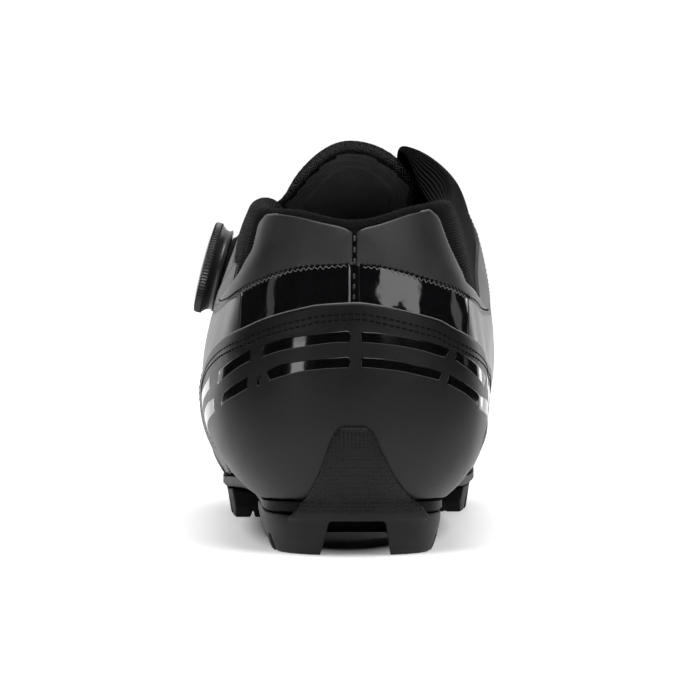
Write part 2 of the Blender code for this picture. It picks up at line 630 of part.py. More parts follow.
def build_toe_tread():
    lat, med = outline(-3.0)
    rings = []
    for y, zb in TOE_LUGS:
        xl = float(np.interp(y, lat[:, 1], lat[:, 0]))
        xm = float(np.interp(y, med[:, 1], med[:, 0]))
        full_l, full_m = outline(0.0)
        a = float(np.interp(y, full_l[:, 1], full_l[:, 0]))
        b = float(np.interp(y, full_m[:, 1], full_m[:, 0]))
        half = 0.5 * (b - a)
        flat = min(POCKET_HALF, 0.60 * half)
        mid = 0.0 if flat == POCKET_HALF else 0.5 * (a + b)
        z0, zr = float(line(KEEL_LINE, y)), float(line(RIM_LINE, y)) - 3.6
        xs = [a + 0.9, (mid - flat + a) / 2 - 0.5, mid - flat, mid, mid + flat,
              (mid + flat + b) / 2 + 0.5, b - 0.9]
        zs = [zr - 0.2, z0 + 0.42 * (zr - z0), z0, z0, z0, z0 + 0.42 * (zr - z0), zr - 0.2]
        cols = [xl, xs[1], xs[2], xs[3], xs[4], xs[5], xm]
        top = [(x, y, float(np.interp(x, xs, zs)) - 0.9) for x in cols]
        low = [(xm - 0.5, y, top[-1][2] - 1.8), (xm - 2.0, y, zb), (mid + 5.0, y, zb),
               (mid + 4.0, y, top[3][2] - 1.6), (mid - 4.0, y, top[3][2] - 1.6), (mid - 5.0, y, zb),
               (xl + 2.0, y, zb), (xl + 0.5, y, top[0][2] - 1.8)]
        rings.append(top + low)
    return loft("toe_tread", grade(np.array(rings)), RUBBER)


# --------------------------------------------------------------------- dial
DIAL_Y, DIAL_Z, DIAL_TILT = 120.0, 86.6, math.radians(14.5)
DIAL_X = -45.6          # the middle of the knob
KNOB_RADIUS, KNOB_THICK, KNOB_TEETH = 15.4, 7.0, 36
DIAL_AXIS = np.array([-math.cos(DIAL_TILT), 0.0, math.sin(DIAL_TILT)])
DIAL_UP = np.array([math.sin(DIAL_TILT), 0.0, math.cos(DIAL_TILT)])
DIAL_SIDE = np.array([0.0, 1.0, 0.0])
DIAL_MID = np.array([DIAL_X, DIAL_Y, DIAL_Z])


def dial_ring(radius, along, n, tooth=0.0):
    """A ring around the dial's axis, at a distance along it from the knob's middle."""
    pts = []
    for k in range(n):
        a = 2 * math.pi * k / n
        r = radius + (tooth if k % 2 else 0.0)
        pts.append(DIAL_MID + DIAL_AXIS * along + (DIAL_UP * math.cos(a) + DIAL_SIDE * math.sin(a)) * r)
    return pts


def build_dial():
    n = KNOB_TEETH * 2
    h = KNOB_THICK / 2
    knob = loft("dial_knob", grade(np.array([
        dial_ring(KNOB_RADIUS - 1.2, -h, n), dial_ring(KNOB_RADIUS - 0.5, -h + 0.5, n, 0.5),
        dial_ring(KNOB_RADIUS - 0.5, h - 1.5, n, 0.5), dial_ring(KNOB_RADIUS - 1.8, h - 0.3, n),
        dial_ring(KNOB_RADIUS - 3.2, h, n), dial_ring(5.0, h + 0.25, n)])), KNOB)
    m = 40
    base = loft("dial_base", grade(np.array([
        dial_ring(17.0, -h - 15.0, m), dial_ring(17.0, -h - 3.4, m), dial_ring(15.6, -h - 2.4, m),
        dial_ring(12.6, -h - 1.4, m), dial_ring(12.6, -h - 0.3, m)])), KNOB)
    # the upper's own face around the dial, moved out by the gap, as the cutter
    s0 = _S[[r[0] for r in SECTIONS].index("quarter_lat")]
    s = np.linspace(s0 - 0.085, s0 + 0.085, 29)
    v = np.linspace(0.30, 1.0, 25)
    S, V = np.meshgrid(s, v, indexing="ij")
    face = upper_point(S, V) + upper_normal(S, V) * 0.45
    deep = face + np.array([40.0, 0, -8.0])
    a, b = len(s), len(v)
    verts = np.concatenate([face.reshape(-1, 3), deep.reshape(-1, 3)])
    off = a * b
    faces = []
    for i in range(a - 1):
        for j in range(b - 1):
            q = (i * b + j, (i + 1) * b + j, (i + 1) * b + j + 1, i * b + j + 1)
            faces += [q, tuple(off + k for k in q[::-1])]
    for i in range(a - 1):
        for j in (0, b - 1):
            faces.append((i * b + j, (i + 1) * b + j, off + (i + 1) * b + j, off + i * b + j))
    for j in range(b - 1):
        for i in (0, a - 1):
            faces.append((i * b + j, i * b + j + 1, off + i * b + j + 1, off + i * b + j))
    cut = add_mesh("cut_quarter", grade(verts), faces, KNOB, coll=CUTTERS)
    boolean(base, cut)
    return knob, base


# ---------------------------------------------------------------- lace wire
WIRE_RADIUS = 0.6
LOW, HIGH = 1.15, 2.65      # the wire's axis above the upper: free, and in a guide
# The wire's route in plan, from the dial across the tongue and back: x, y, height kind
ROUTE = [(-36.0, 118.0, "low"), (-29.0, 127.0, "low"), (-23.0, 132.0, "low"), (-18.6, 134.0, "low"),
         (0.0, 132.0, "over"), (15.2, 129.6, "low"), (20.0, 129.0, "high"), (25.0, 131.6, "high"),
         (20.6, 136.6, "high"), (15.4, 138.2, "low"), (0.0, 142.0, "over"), (-16.6, 146.4, "low"),
         (-20.6, 147.6, "high"), (-26.0, 151.2, "high"), (-20.6, 155.6, "high"), (-14.6, 156.6, "low"),
         (0.0, 159.6, "over"), (13.4, 162.4, "low"), (18.0, 163.4, "high"), (23.0, 167.4, "high"),
         (17.6, 171.4, "high"), (12.0, 172.0, "low"), (0.0, 173.6, "over"), (-12.4, 174.6, "low"),
         (-20.0, 172.6, "low"), (-29.0, 165.0, "low"), (-36.0, 152.0, "low"), (-39.4, 140.0, "low"),
         (-40.4, 130.0, "low")]
GUIDES = (("lace_guide_medial_upper", 5, 9), ("lace_guide_lateral", 11, 15), ("lace_guide_medial_lower", 17, 21))


def catmull(points, per):
    """A smooth curve through the points, and the control index at each sample."""
    p = np.array(points, float)
    p = np.concatenate([[2 * p[0] - p[1]], p, [2 * p[-1] - p[-2]]])
    out, at = [], []
    for i in range(1, len(p) - 2):
        for k in range(per):
            u = k / per
            a, b, c, d = p[i - 1], p[i], p[i + 1], p[i + 2]
            out.append(0.5 * (2 * b + (c - a) * u + (2 * a - 5 * b + 4 * c - d) * u * u
                              + (3 * b - a - 3 * c + d) * u ** 3))
            at.append(i - 1 + u)
    out.append(p[-2])
    at.append(len(points) - 1.0)
    return np.array(out), np.array(at)


def tree_of(*names):
    from mathutils.bvhtree import BVHTree
    verts, faces = [], []
    for n in names:
        me = bpy.data.objects[n].data
        off = len(verts)
        verts += [v.co.copy() for v in me.vertices]
        faces += [tuple(off + i for i in f.vertices) for f in me.polygons]
    return BVHTree.FromPolygons(verts, faces)


def pipe(name, path, outer, inner, sides, mat):
    """A short open-ended sleeve around a path."""
    path = [Vector(p) for p in path]
    n = len(path)
    tangents = [(path[min(i + 1, n - 1)] - path[max(i - 1, 0)]).normalized() for i in range(n)]
    side = tangents[0].orthogonal().normalized()
    verts = []
    frames = []
    for tng in tangents:
        side = (side - tng * side.dot(tng)).normalized()
        frames.append((side.copy(), tng.cross(side).normalized()))
    for radius, order in ((outer, range(n)), (inner, range(n - 1, -1, -1))):
        for i in order:
            a, b = frames[i]
            for k in range(sides):
                w = 2 * math.pi * k / sides
                verts.append(path[i] + (a * math.cos(w) + b * math.sin(w)) * radius)
    return add_mesh(name, verts, ring_faces(2 * n, sides, wrap_rows=True), mat)


def build_lace():
    bpy.context.view_layer.update()
    skin = tree_of("upper")
    both = tree_of("upper", "tongue")
    anchors = []
    for x, y, kind in ROUTE:
        at = place((x, y, 160.0))
        hit, n, _, _ = both.ray_cast(at, Vector((0, 0, -1)))
        lift = {"low": LOW, "high": HIGH, "over": 1.6}[kind] * 1e-3
        anchors.append(hit + n * lift)
    pts, at = catmull([tuple(a) for a in anchors], 7)
    kinds = [k for _, _, k in ROUTE]
    fixed = []
    for p, w in zip(pts, at):
        p = Vector(p)
        k0, k1 = kinds[int(w)], kinds[min(int(w) + 1, len(kinds) - 1)]
        need = LOW if "high" not in (k0, k1) else (HIGH if k0 == k1 else 0.5 * (LOW + HIGH))
        for _ in range(4):
            loc, n, _, d = both.find_nearest(p)
            side = (p - loc).dot(n)
            if side < need * 1e-3:
                p = p + n * (need * 1e-3 - side)
        if "over" not in (k0, k1):
            loc, n, _, d = skin.find_nearest(p)
            p = loc + n * need * 1e-3
        fixed.append(p)
    # the ends stop just outside the dial's housing
    mid, axis = place(DIAL_MID), Vector(DIAL_AXIS)

    def radius_at(p):
        q = p - mid
        return (q - axis * q.dot(axis)).length
    keep = [i for i, p in enumerate(fixed) if radius_at(p) > 0.0181 or 3 < at[i] < len(kinds) - 5]
    lo, hi = min(keep), max(keep)
    run = fixed[lo:hi + 1]
    where = at[lo:hi + 1]
    smooth = run
    for _ in range(2):
        smooth = [smooth[0]] + [(smooth[i - 1] + smooth[i] * 2 + smooth[i + 1]) / 4
                                for i in range(1, len(smooth) - 1)] + [smooth[-1]]
    clear = []
    for p in smooth:
        for _ in range(3):
            loc, n, _, d = both.find_nearest(p)
            side = (p - loc).dot(n)
            if side < 1.02e-3:
                p = p + n * (1.02e-3 - side)
        clear.append(p)
    thin = [0]
    for i in range(1, len(clear)):
        if (clear[i] - clear[thin[-1]]).length > 0.0030 or i == len(clear) - 1:
            thin.append(i)
    cu = bpy.data.curves.new("lace_wire", "CURVE")
    cu.dimensions = "3D"
    cu.bevel_depth = WIRE_RADIUS * 1e-3
    cu.bevel_resolution = 2
    cu.use_fill_caps = True
    sp = cu.splines.new("POLY")
    sp.points.add(len(thin) - 1)
    for q, i in zip(sp.points, thin):
        q.co = (*clear[i], 1.0)
    wire = bpy.data.objects.new("lace_wire", cu)
    cu.materials.append(STEEL)
    SHOE.objects.link(wire)
    for name, a, b in GUIDES:
        idx = [i for i in thin if a + 0.95 <= where[i] <= b - 0.95]
        pipe(name, [clear[i] for i in idx], 0.0019, 0.0010, 8, KNOB)


build_upper()
build_plate()
build_insole()
build_tongue()
build_heel_tread()
strip_tread("forefoot_tread_lateral", -1, LATERAL_LUGS, 20.0)
strip_tread("forefoot_tread_medial", 1, MEDIAL_LUGS, 20.0)
build_toe_tread()
build_dial()
build_lace()
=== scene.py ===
"""Looks of the left cycling shoe: overlays, knit, stitches, gloss and rubber on
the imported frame.  Millimetres of the shoe's base size are used for the forms and
graded to metres at the end."""
import math

import bmesh
import bpy
import numpy as np
from mathutils import Matrix, Vector
from mathutils.bvhtree import BVHTree
from mathutils.geometry import delaunay_2d_cdt


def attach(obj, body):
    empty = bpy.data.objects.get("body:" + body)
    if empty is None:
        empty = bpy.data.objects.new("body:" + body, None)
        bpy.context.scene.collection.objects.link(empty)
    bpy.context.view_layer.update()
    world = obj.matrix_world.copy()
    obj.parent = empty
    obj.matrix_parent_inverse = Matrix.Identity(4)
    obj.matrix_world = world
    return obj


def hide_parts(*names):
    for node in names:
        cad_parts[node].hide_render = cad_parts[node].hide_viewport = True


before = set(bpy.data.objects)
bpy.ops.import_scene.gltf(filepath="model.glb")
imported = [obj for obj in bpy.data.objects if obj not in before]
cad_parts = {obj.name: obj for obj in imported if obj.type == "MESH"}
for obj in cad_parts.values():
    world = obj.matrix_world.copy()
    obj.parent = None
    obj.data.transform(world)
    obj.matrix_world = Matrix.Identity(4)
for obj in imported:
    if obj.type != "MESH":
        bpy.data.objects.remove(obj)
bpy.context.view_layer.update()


# ---------------------------------------------------------------- main sizes
LENGTH = 0.288          # heel back to toe tip of the upper
BALL_WIDTH = 0.1035     # over the ball of the foot
HEEL_HEIGHT = 0.1022    # floor to the collar at the back of the heel
INSTEP = 0.1290         # floor to the top of the tongue
WALL = 0.0022           # upper wall
PAD = 0.0056            # extra thickness of the padded collar
GAP = 0.0003            # clearance between touching pieces
SHIFT_X, SHIFT_Y = 0.00144, -0.142765   # moves the box's centre to the origin

# The base size that the tables below are written in (millimetres)
BASE_LENGTH, BASE_BALL, BASE_HEEL, BASE_INSTEP = 288.0, 103.5, 102.2, 129.0
KX, KY = BALL_WIDTH / BASE_BALL, LENGTH / BASE_LENGTH
K_HEEL, K_INSTEP = HEEL_HEIGHT / BASE_HEEL, INSTEP / BASE_INSTEP

# --------------------------------------------------------- sections of the last
# One row for each section around the foot, from the heel back along the lateral
# side (-X) to the toe, and back along the medial side.  foot = feather edge at
# the sole, wide = the widest line, top = collar or throat edge.  tuck = degrees
# above the floor at which the wall leaves the sole, crown = degrees from upright
# at which it meets the top edge, rise and reach = handles at wide and at top.
COLUMNS = ("name", "foot_x", "foot_y", "wide_x", "wide_y", "wide_z",
           "top_x", "top_y", "top_z", "tuck", "crown", "rise", "reach")
SECTIONS = [
    ("heel_back",     1.5,   8.5,   1.5,   0.0, 46.5,   1.5,   6.5,  99.3, 52, 10, 15, 17),
    ("heel_lat_1",  -15.0,  12.5, -20.5,   5.5, 46.3, -15.5,  12.0, 102.3, 46, 13, 15, 17),
    ("heel_lat_2",  -25.0,  25.0, -37.0,  21.0, 45.9, -27.0,  28.0, 103.5, 36, 18, 15, 17),
    ("heel_lat_3",  -27.8,  46.0, -44.6,  47.0, 45.3, -30.5,  51.0, 105.2, 34, 22, 16, 18),
    ("ankle_lat",   -29.6,  74.0, -47.2,  78.0, 48.5, -30.8,  76.0, 106.9, 38, 26, 17, 18),
    ("cuff_lat",    -31.8,  96.0, -48.0, 101.0, 51.9, -28.4,  96.5, 108.4, 44, 34, 17, 17),
    ("quarter_lat", -34.6, 118.0, -48.6, 121.0, 50.4, -24.6, 114.0, 106.0, 50, 46, 18, 18),
    ("waist_lat",   -39.0, 148.0, -50.6, 151.0, 46.6, -17.4, 140.0,  94.7, 55, 60, 17, 19),
    ("ball_lat",    -43.6, 187.0, -53.2, 189.0, 40.7, -12.6, 166.0,  82.6, 58, 68, 17, 22),
    ("fore_lat",    -42.6, 222.0, -50.4, 225.0, 37.6,  -9.6, 186.0,  73.7, 60, 70, 14, 25),
    ("toe_lat",     -29.4, 257.0, -35.4, 262.0, 35.0,  -5.6, 198.5,  69.0, 66, 72, 18, 32),
    ("toe_tip",       6.0, 284.0,   6.4, 288.0, 35.0,   0.6, 203.0,  67.8, 66, 72, 20, 40),
    ("toe_med",      34.0, 263.0,  39.2, 267.0, 35.6,   6.4, 199.0,  69.0, 66, 72, 18, 34),
    ("fore_med",     43.4, 232.0,  49.4, 235.0, 39.6,   9.8, 187.0,  73.1, 62, 70, 15, 26),
    ("ball_med",     42.0, 199.0,  50.0, 201.0, 42.6,  12.6, 168.0,  81.8, 60, 70, 18, 22),
    ("waist_med",    34.0, 154.0,  48.0, 154.0, 50.5,  15.4, 142.0,  94.7, 55, 70, 19, 20),
    ("quarter_med",  30.6, 126.0,  47.6, 127.0, 56.2,  17.6, 119.0, 111.8, 50, 74, 20, 21),
    ("tip_med",      29.2, 104.0,  47.2, 108.0, 57.7,  17.6, 103.0, 126.8, 46, 80, 20, 23),
    ("cuff_med",     28.6,  86.0,  45.8,  92.0, 56.1,  28.2,  91.5, 117.1, 42, 52, 19, 20),
    ("ankle_med",    28.4,  66.0,  44.4,  72.0, 52.6,  32.4,  75.0, 107.8, 38, 28, 17, 18),
    ("heel_med_3",   28.2,  44.0,  42.6,  47.0, 47.3,  31.4,  51.0, 106.6, 36, 22, 16, 18),
    ("heel_med_2",   27.0,  24.5,  38.6,  21.0, 45.9,  29.4,  28.0, 105.4, 38, 18, 15, 17),
    ("heel_med_1",   17.6,  12.4,  23.2,   5.5, 46.3,  18.4,  12.0, 103.2, 46, 13, 15, 17),
]

# The top of the sole plate's rim, from heel to toe: (distance, height)
RIM_LINE = [(0, 17.3), (30, 16), (60, 15.7), (90, 16.8), (120, 16.8), (155, 15.3), (190, 13.5), (215, 14), (240, 17), (262, 20.6), (290, 26.5)]
# The underside of the plate along its middle: (distance, height)
KEEL_LINE = [(0, 12.4), (30, 12.4), (62, 12.4), (84, 12.6), (112, 12.8), (138, 10.6), (158, 8.1),
             (165, 8.0), (229, 8.0), (240, 9.6), (262, 14.6), (290, 22.2)]
DISH_LINE = [(0, 1.0), (30, 1.6), (80, 1.8), (120, 1.4), (165, 2.6), (225, 2.6), (262, 1.6), (290, 0.4)]
FLARE_LINE = [(0, 0.0), (60, 0.0), (110, 0.5), (160, 1.2), (290, 1.4)]


def line(table, y_mm):
    """A smooth height or width along the shoe from a short table."""
    pts = np.array(table, float)
    return _natural(pts[:, 0], pts[:, 1], np.asarray(y_mm, float))


def _natural(x, f, q):
    """Piecewise cubic through the points without overshoot."""
    h, d = np.diff(x), np.diff(f) / np.diff(x)
    m = np.empty(len(x))
    m[0], m[-1] = d[0], d[-1]
    same = d[:-1] * d[1:] > 0
    w1, w2 = 2 * h[1:] + h[:-1], h[1:] + 2 * h[:-1]
    safe = np.where(same, d[:-1], 1.0), np.where(same, d[1:], 1.0)
    m[1:-1] = np.where(same, (w1 + w2) / (w1 / safe[0] + w2 / safe[1]), 0.0)
    q = np.clip(q, x[0], x[-1])
    i = np.clip(np.searchsorted(x, q, side="right") - 1, 0, len(x) - 2)
    t = (q - x[i]) / h[i]
    return ((1 + 2 * t) * (1 - t) ** 2 * f[i] + t * (1 - t) ** 2 * h[i] * m[i]
            + t * t * (3 - 2 * t) * f[i + 1] + t * t * (t - 1) * h[i] * m[i + 1])


def _periodic(x, f):
    """Second derivatives of the closed cubic spline through f at knots x in 0..1."""
    n = len(x)
    h = np.diff(np.append(x, x[0] + 1.0))
    a, b = np.zeros((n, n)), np.zeros((n, f.shape[1]))
    for i in range(n):
        p, q = (i - 1) % n, (i + 1) % n
        a[i, p] += h[p]
        a[i, i] += 2 * (h[p] + h[i])
        a[i, q] += h[i]
        b[i] = 6 * ((f[q] - f[i]) / h[i] - (f[i] - f[p]) / h[p])
    return h, np.linalg.solve(a, b)


def _spline_setup():
    rows = np.array([r[1:] for r in SECTIONS], float)
    wide = rows[:, 2:5]
    top = rows[:, 5:8]
    mid = 0.5 * (wide + top)
    step = np.linalg.norm(np.roll(mid, -1, 0) - mid, axis=1)
    s = np.concatenate([[0], np.cumsum(step)[:-1]]) / step.sum()
    h, m = _periodic(s, rows)
    return s, rows, h, m


_S, _ROWS, _H, _M = _spline_setup()


def section(s):
    """The columns of SECTIONS at any place s in 0..1 around the foot."""
    s = np.mod(np.asarray(s, float), 1.0)
    i = np.clip(np.searchsorted(_S, s, side="right") - 1, 0, len(_S) - 1)
    j = (i + 1) % len(_S)
    h = _H[i][..., None]
    t = ((s - _S[i]) / _H[i])[..., None]
    return (_ROWS[i] * (1 - t) + _ROWS[j] * t
            + h * h / 6 * (_M[i] * ((1 - t) ** 3 - (1 - t)) + _M[j] * (t ** 3 - t)))


def station(name):
    return _S[[r[0] for r in SECTIONS].index(name)]


V_WIDE = 0.32           # the share of v below the widest line


def upper_point(s, v):
    """The upper's outer face, in millimetres before grading: s around, v up."""
    s, v = np.broadcast_arrays(np.asarray(s, float), np.asarray(v, float))
    c = section(s)
    fx, fy, wx, wy, wz, tx, ty, tz, tuck, crown, rise, reach = np.moveaxis(c, -1, 0)
    foot = np.stack([fx, fy, line(RIM_LINE, fy) + GAP * 1000], -1)
    wide = np.stack([wx, wy, wz], -1)
    top = np.stack([tx, ty, tz], -1)
    up = np.array([0.0, 0.0, 1.0])
    out = wide - foot
    drop = out[..., 2:3].copy()
    out[..., 2] = 0
    flat = np.linalg.norm(out, axis=-1, keepdims=True)
    out = out / np.maximum(flat, 1e-6)
    tk = np.radians(tuck)[..., None]
    h0 = 0.42 * np.sqrt(flat ** 2 + drop ** 2)
    f1 = foot + (out * np.cos(tk) + up * np.sin(tk)) * h0 * 0.9
    f2 = wide - up * drop * 0.42
    inward = top - wide
    inward[..., 2] = 0
    inward = inward / np.maximum(np.linalg.norm(inward, axis=-1, keepdims=True), 1e-6)
    cr = np.radians(crown)[..., None]
    w1 = wide + up * rise[..., None]
    w2 = top - (inward * np.sin(cr) + up * np.cos(cr)) * reach[..., None]
    t = np.clip(v / V_WIDE, 0, 1)[..., None]
    low = ((1 - t) ** 3 * foot + 3 * (1 - t) ** 2 * t * f1 + 3 * (1 - t) * t * t * f2 + t ** 3 * wide)
    t = np.clip((v - V_WIDE) / (1 - V_WIDE), 0, None)[..., None]
    high = ((1 - t) ** 3 * wide + 3 * (1 - t) ** 2 * t * w1 + 3 * (1 - t) * t * t * w2 + t ** 3 * top)
    return np.where((v < V_WIDE)[..., None], low, high)


def upper_normal(s, v):
    """The outward unit normal of the outer face."""
    e = 2e-4
    s, v = np.asarray(s, float), np.asarray(v, float)
    lo, hi = np.maximum(v - e, 0), np.minimum(v + e, 1)
    ds = upper_point(s + e, v) - upper_point(s - e, v)
    dv = upper_point(s, hi) - upper_point(s, lo)
    n = np.cross(dv, ds)
    n = n / np.maximum(np.linalg.norm(n, axis=-1, keepdims=True), 1e-12)
    return n


def collar_share(s):
    """1 along the padded collar, 0 along the throat and the toe."""
    s = np.mod(np.asarray(s, float), 1.0)
    a, b = station("cuff_lat"), station("quarter_lat")
    c, d = station("tip_med"), station("cuff_med")
    lat = np.clip((b - s) / (b - a), 0, 1)
    med = np.clip((s - c) / (d - c), 0, 1)
    k = np.maximum(np.where(s < 0.5, lat, 0), np.where(s >= 0.5, med, 0))
    return k * k * (3 - 2 * k)


def wall(s, v):
    """The wall's thickness in millimetres."""
    k = np.clip((np.asarray(v, float) - 0.62) / 0.30, 0, 1)
    return 1000 * (WALL + PAD * collar_share(s) * k * k * (3 - 2 * k))


def upper_inner(s, v):
    """The inner face: the outer face moved in by the wall."""
    p = upper_point(s, v) - upper_normal(s, v) * wall(s, v)[..., None]
    low = np.clip(1 - np.asarray(v, float) / 0.05, 0, 1)
    rim = line(RIM_LINE, p[..., 1]) + GAP * 1000
    p[..., 2] = p[..., 2] * (1 - low) + rim * low
    return p


def grade(p):
    """Millimetres of the base size to metres of this shoe, in its own frame."""
    p = np.asarray(p, float)
    front = np.clip((p[..., 1] - 30.0) / 70.0, 0, 1)
    kz = K_HEEL + (K_INSTEP - K_HEEL) * front * front * (3 - 2 * front)
    return np.stack([p[..., 0] * KX + SHIFT_X, p[..., 1] * KY + SHIFT_Y, p[..., 2] * kz], -1)


def feather(n=720):
    """The feather edge in plan, and its lateral and medial x at any y."""
    s = np.arange(n) / n
    c = section(s)[:, :2]
    t = np.roll(c, -1, 0) - np.roll(c, 1, 0)
    nrm = np.stack([-t[:, 1], t[:, 0]], -1)
    nrm = nrm / np.linalg.norm(nrm, axis=1, keepdims=True)
    return s, c, nrm


def outline(grow=0.0, flare=True):
    """(y, lateral x, medial x) of the sole outline grown by some millimetres."""
    s, c, nrm = feather()
    centre = np.array([0.0, 130.0])
    if ((c - centre) * nrm).sum() < 0:
        nrm = -nrm
    extra = line(FLARE_LINE, c[:, 1]) if flare else 0.0
    p = c + nrm * (grow + extra)[..., None] if np.ndim(grow + extra) else c + nrm * grow
    i0, i1 = np.argmin(p[:, 1]), np.argmax(p[:, 1])
    lat = p[i0:i1 + 1] if i0 < i1 else np.concatenate([p[i0:], p[:i1 + 1]])
    med = np.concatenate([p[i1:], p[:i0 + 1]])[::-1] if i0 < i1 else p[i1:i0 + 1][::-1]
    lat = lat[np.argsort(lat[:, 1])]
    med = med[np.argsort(med[:, 1])]
    return lat, med


def rows_along(lat, med, n, trim=4.0):
    """Cross rows of an outline, close together at both ends: y, lateral x, medial x."""
    y0, y1 = max(lat[0, 1], med[0, 1]), min(lat[-1, 1], med[-1, 1])
    th = np.radians(np.linspace(trim, 180 - trim, n))
    y = y0 + (y1 - y0) * (1 - np.cos(th)) / 2
    return y, np.interp(y, lat[:, 1], lat[:, 0]), np.interp(y, med[:, 1], med[:, 0])


def plate_top(x, y, xl, xm):
    """The top of the sole plate: a flat rim with a shallow dish inside it."""
    edge = np.minimum(x - xl, xm - x)
    k = np.clip((edge - 4.0) / 10.0, 0, 1)
    return line(RIM_LINE, y) - line(DISH_LINE, y) * k * k * (3 - 2 * k)


# ---------------------------------------------------------------- tongue
# Along the middle: the outer face's height, the bend across and the half width
TONGUE_CROWN = [(100, 134.3), (106, 128.4), (120, 112.8), (140, 96.9), (160, 84.6), (180, 74.5), (200, 65.2), (216, 58.6)]
TONGUE_ARCH = [(100, 0.026), (106, 0.026), (120, 0.024), (140, 0.018), (160, 0.015), (190, 0.012),
               (216, 0.011)]
TONGUE_HALF = [(100, 22.2), (106, 22.2), (118, 20.8), (130, 21.4), (160, 21.0), (190, 18.0), (216, 14.0)]
TONGUE_FROM, TONGUE_TO = 105.4, 214.0


def tongue_top(x, y):
    """The tongue's outer face, flatter on the medial side at the top."""
    k = line(TONGUE_ARCH, y)
    k = k * (1 - 0.25 * np.clip((118 - np.asarray(y, float)) / 12, 0, 1) * (np.asarray(x) > 0))
    return line(TONGUE_CROWN, y) - k * np.asarray(x, float) ** 2


def tongue_face(u, t):
    """A point of the tongue's outer face: u -1..1 across, t 0..1 from the top."""
    y = TONGUE_FROM + (TONGUE_TO - TONGUE_FROM) * t
    x = line(TONGUE_HALF, y) * u
    y = y + 4.0 * u * u * np.clip(1 - t / 0.2, 0, 1) ** 2
    return np.stack([x, y, tongue_top(x, y)], -1)


def tongue_normal(u, t):
    e = 1e-3
    du = tongue_face(np.minimum(u + e, 1), t) - tongue_face(np.maximum(u - e, -1), t)
    dt = tongue_face(u, np.minimum(t + e, 1)) - tongue_face(u, np.maximum(t - e, 0))
    n = np.cross(du, dt)
    return n / np.linalg.norm(n, axis=-1, keepdims=True)




# ---------------------------------------------------- forms of sole and dial
def ring_faces(rows, cols, wrap_rows=False):
    out = []
    for r in range(rows if wrap_rows else rows - 1):
        q = (r + 1) % rows
        for c in range(cols):
            d = (c + 1) % cols
            out.append((r * cols + c, r * cols + d, q * cols + d, q * cols + c))
    return out


POCKET_HALF = 18.0


POCKET_FROM, POCKET_TO = 165.0, 229.0


SLOT_X, SLOT_WIDE, SLOT_LONG, SLOT_Y = 7.0, 5.0, 27.0, 196.0


def plate_ring(y, xl, xm):
    half = 0.5 * (xm - xl)
    zr = float(line(RIM_LINE, y))
    flat = min(POCKET_HALF, 0.60 * half)
    mid = 0.0 if flat == POCKET_HALF else 0.5 * (xl + xm)
    tops = [xl, xl + 0.10 * half, xl + 0.28 * half, mid - 0.4 * half, mid, mid + 0.4 * half,
            xm - 0.28 * half, xm - 0.10 * half, xm]
    ring = [(x, y, float(plate_top(x, y, xl, xm))) for x in tops]
    zb = float(line(KEEL_LINE, y))
    edge = max(zr - 3.6, zb + 0.3)
    under = [(xm, edge + 0.6), (xm - 0.9, edge - 0.2),
             ((mid + flat + xm) / 2 + 0.5, zb + 0.42 * (edge - zb)),
             (mid + flat, zb), (mid + flat / 2, zb), (mid, zb), (mid - flat / 2, zb), (mid - flat, zb),
             ((mid - flat + xl) / 2 - 0.5, zb + 0.42 * (edge - zb)),
             (xl + 0.9, edge - 0.2), (xl, edge + 0.6)]
    return ring + [(x, y, z) for x, z in under]


INSOLE_THICK = 4.0


HEEL_TOP = 12.4 - 0.3


HEEL_GAP = ((-3.0, -9.8, 12.7), (10.6, -6.2, 10.6))      # z, lateral x, medial x


HEEL_BAR = 2.9                          # floor to the bar that closes the gap in front


HEEL_END = 79.0                         # where the heel rubber stops


HEEL_GROOVES = ((27.4, 31.6), (46.9, 51.1))


HEEL_GAP_TO = 63.0


#            height, growth of the outline at the sides, and at the back
HEEL_LEVELS = [(HEEL_TOP, -0.3, 1.6), (9.6, -0.4, 1.6), (4.6, -1.5, 0.6), (1.5, -2.5, -1.2), (0.0, -3.3, -3.2)]


# The guard on the back of the heel: height, lateral x, medial x, how proud it is
GUARD_ROWS = [(10.9, -19.0, 24.6, 1.6), (14.6, -15.8, 22.0, 2.4), (20.0, -12.0, 16.4, 2.8), (24.0, -10.0, 13.6, 2.8),
              (29.0, -8.0, 11.2, 2.7), (33.0, -6.8, 9.2, 2.6), (37.4, -4.9, 7.4, 2.3), (39.5, -3.2, 5.2, 1.4)]


def heel_face():
    """The upper's lower back, sampled as a surface y(x, z)."""
    s = np.concatenate([np.linspace(-0.16, 0.16, 161)])
    v = np.linspace(0, V_WIDE * 1.3, 90)
    S, V = np.meshgrid(s, v, indexing="ij")
    return upper_point(S, V)


_HEEL = heel_face()


def heel_y(x, z):
    """The y of the heel's outer face at a given x and height."""
    zz = max(z, float(_HEEL[:, 0, 2].max()) + 0.01)
    line_x, line_y = [], []
    for col in _HEEL:
        line_x.append(np.interp(zz, col[:, 2], col[:, 0]))
        line_y.append(np.interp(zz, col[:, 2], col[:, 1]))
    order = np.argsort(line_x)
    return float(np.interp(x, np.array(line_x)[order], np.array(line_y)[order]))


#                y, bottom: the lugs of the forefoot, from back to front
LATERAL_LUGS = [(163.0, 3.6), (165.5, 0.0), (177.5, 0.0), (178.3, 4.4), (182.2, 4.4), (183.0, 0.0),
                (195.0, 0.0), (195.8, 4.4), (199.7, 4.4), (200.5, 0.0), (212.5, 0.0), (213.3, 4.6),
                (217.2, 5.0), (218.0, 0.9), (229.0, 2.0), (231.0, 5.6)]


# The medial strip starts further forward
MEDIAL_LUGS = [(188.5, 3.6), (191.0, 0.0), (202.5, 0.0), (203.3, 4.4), (207.0, 4.4), (207.8, 0.0),
               (216.5, 0.0), (217.3, 4.8), (220.8, 5.0), (221.6, 1.2), (231.5, 2.4), (233.5, 5.8)]


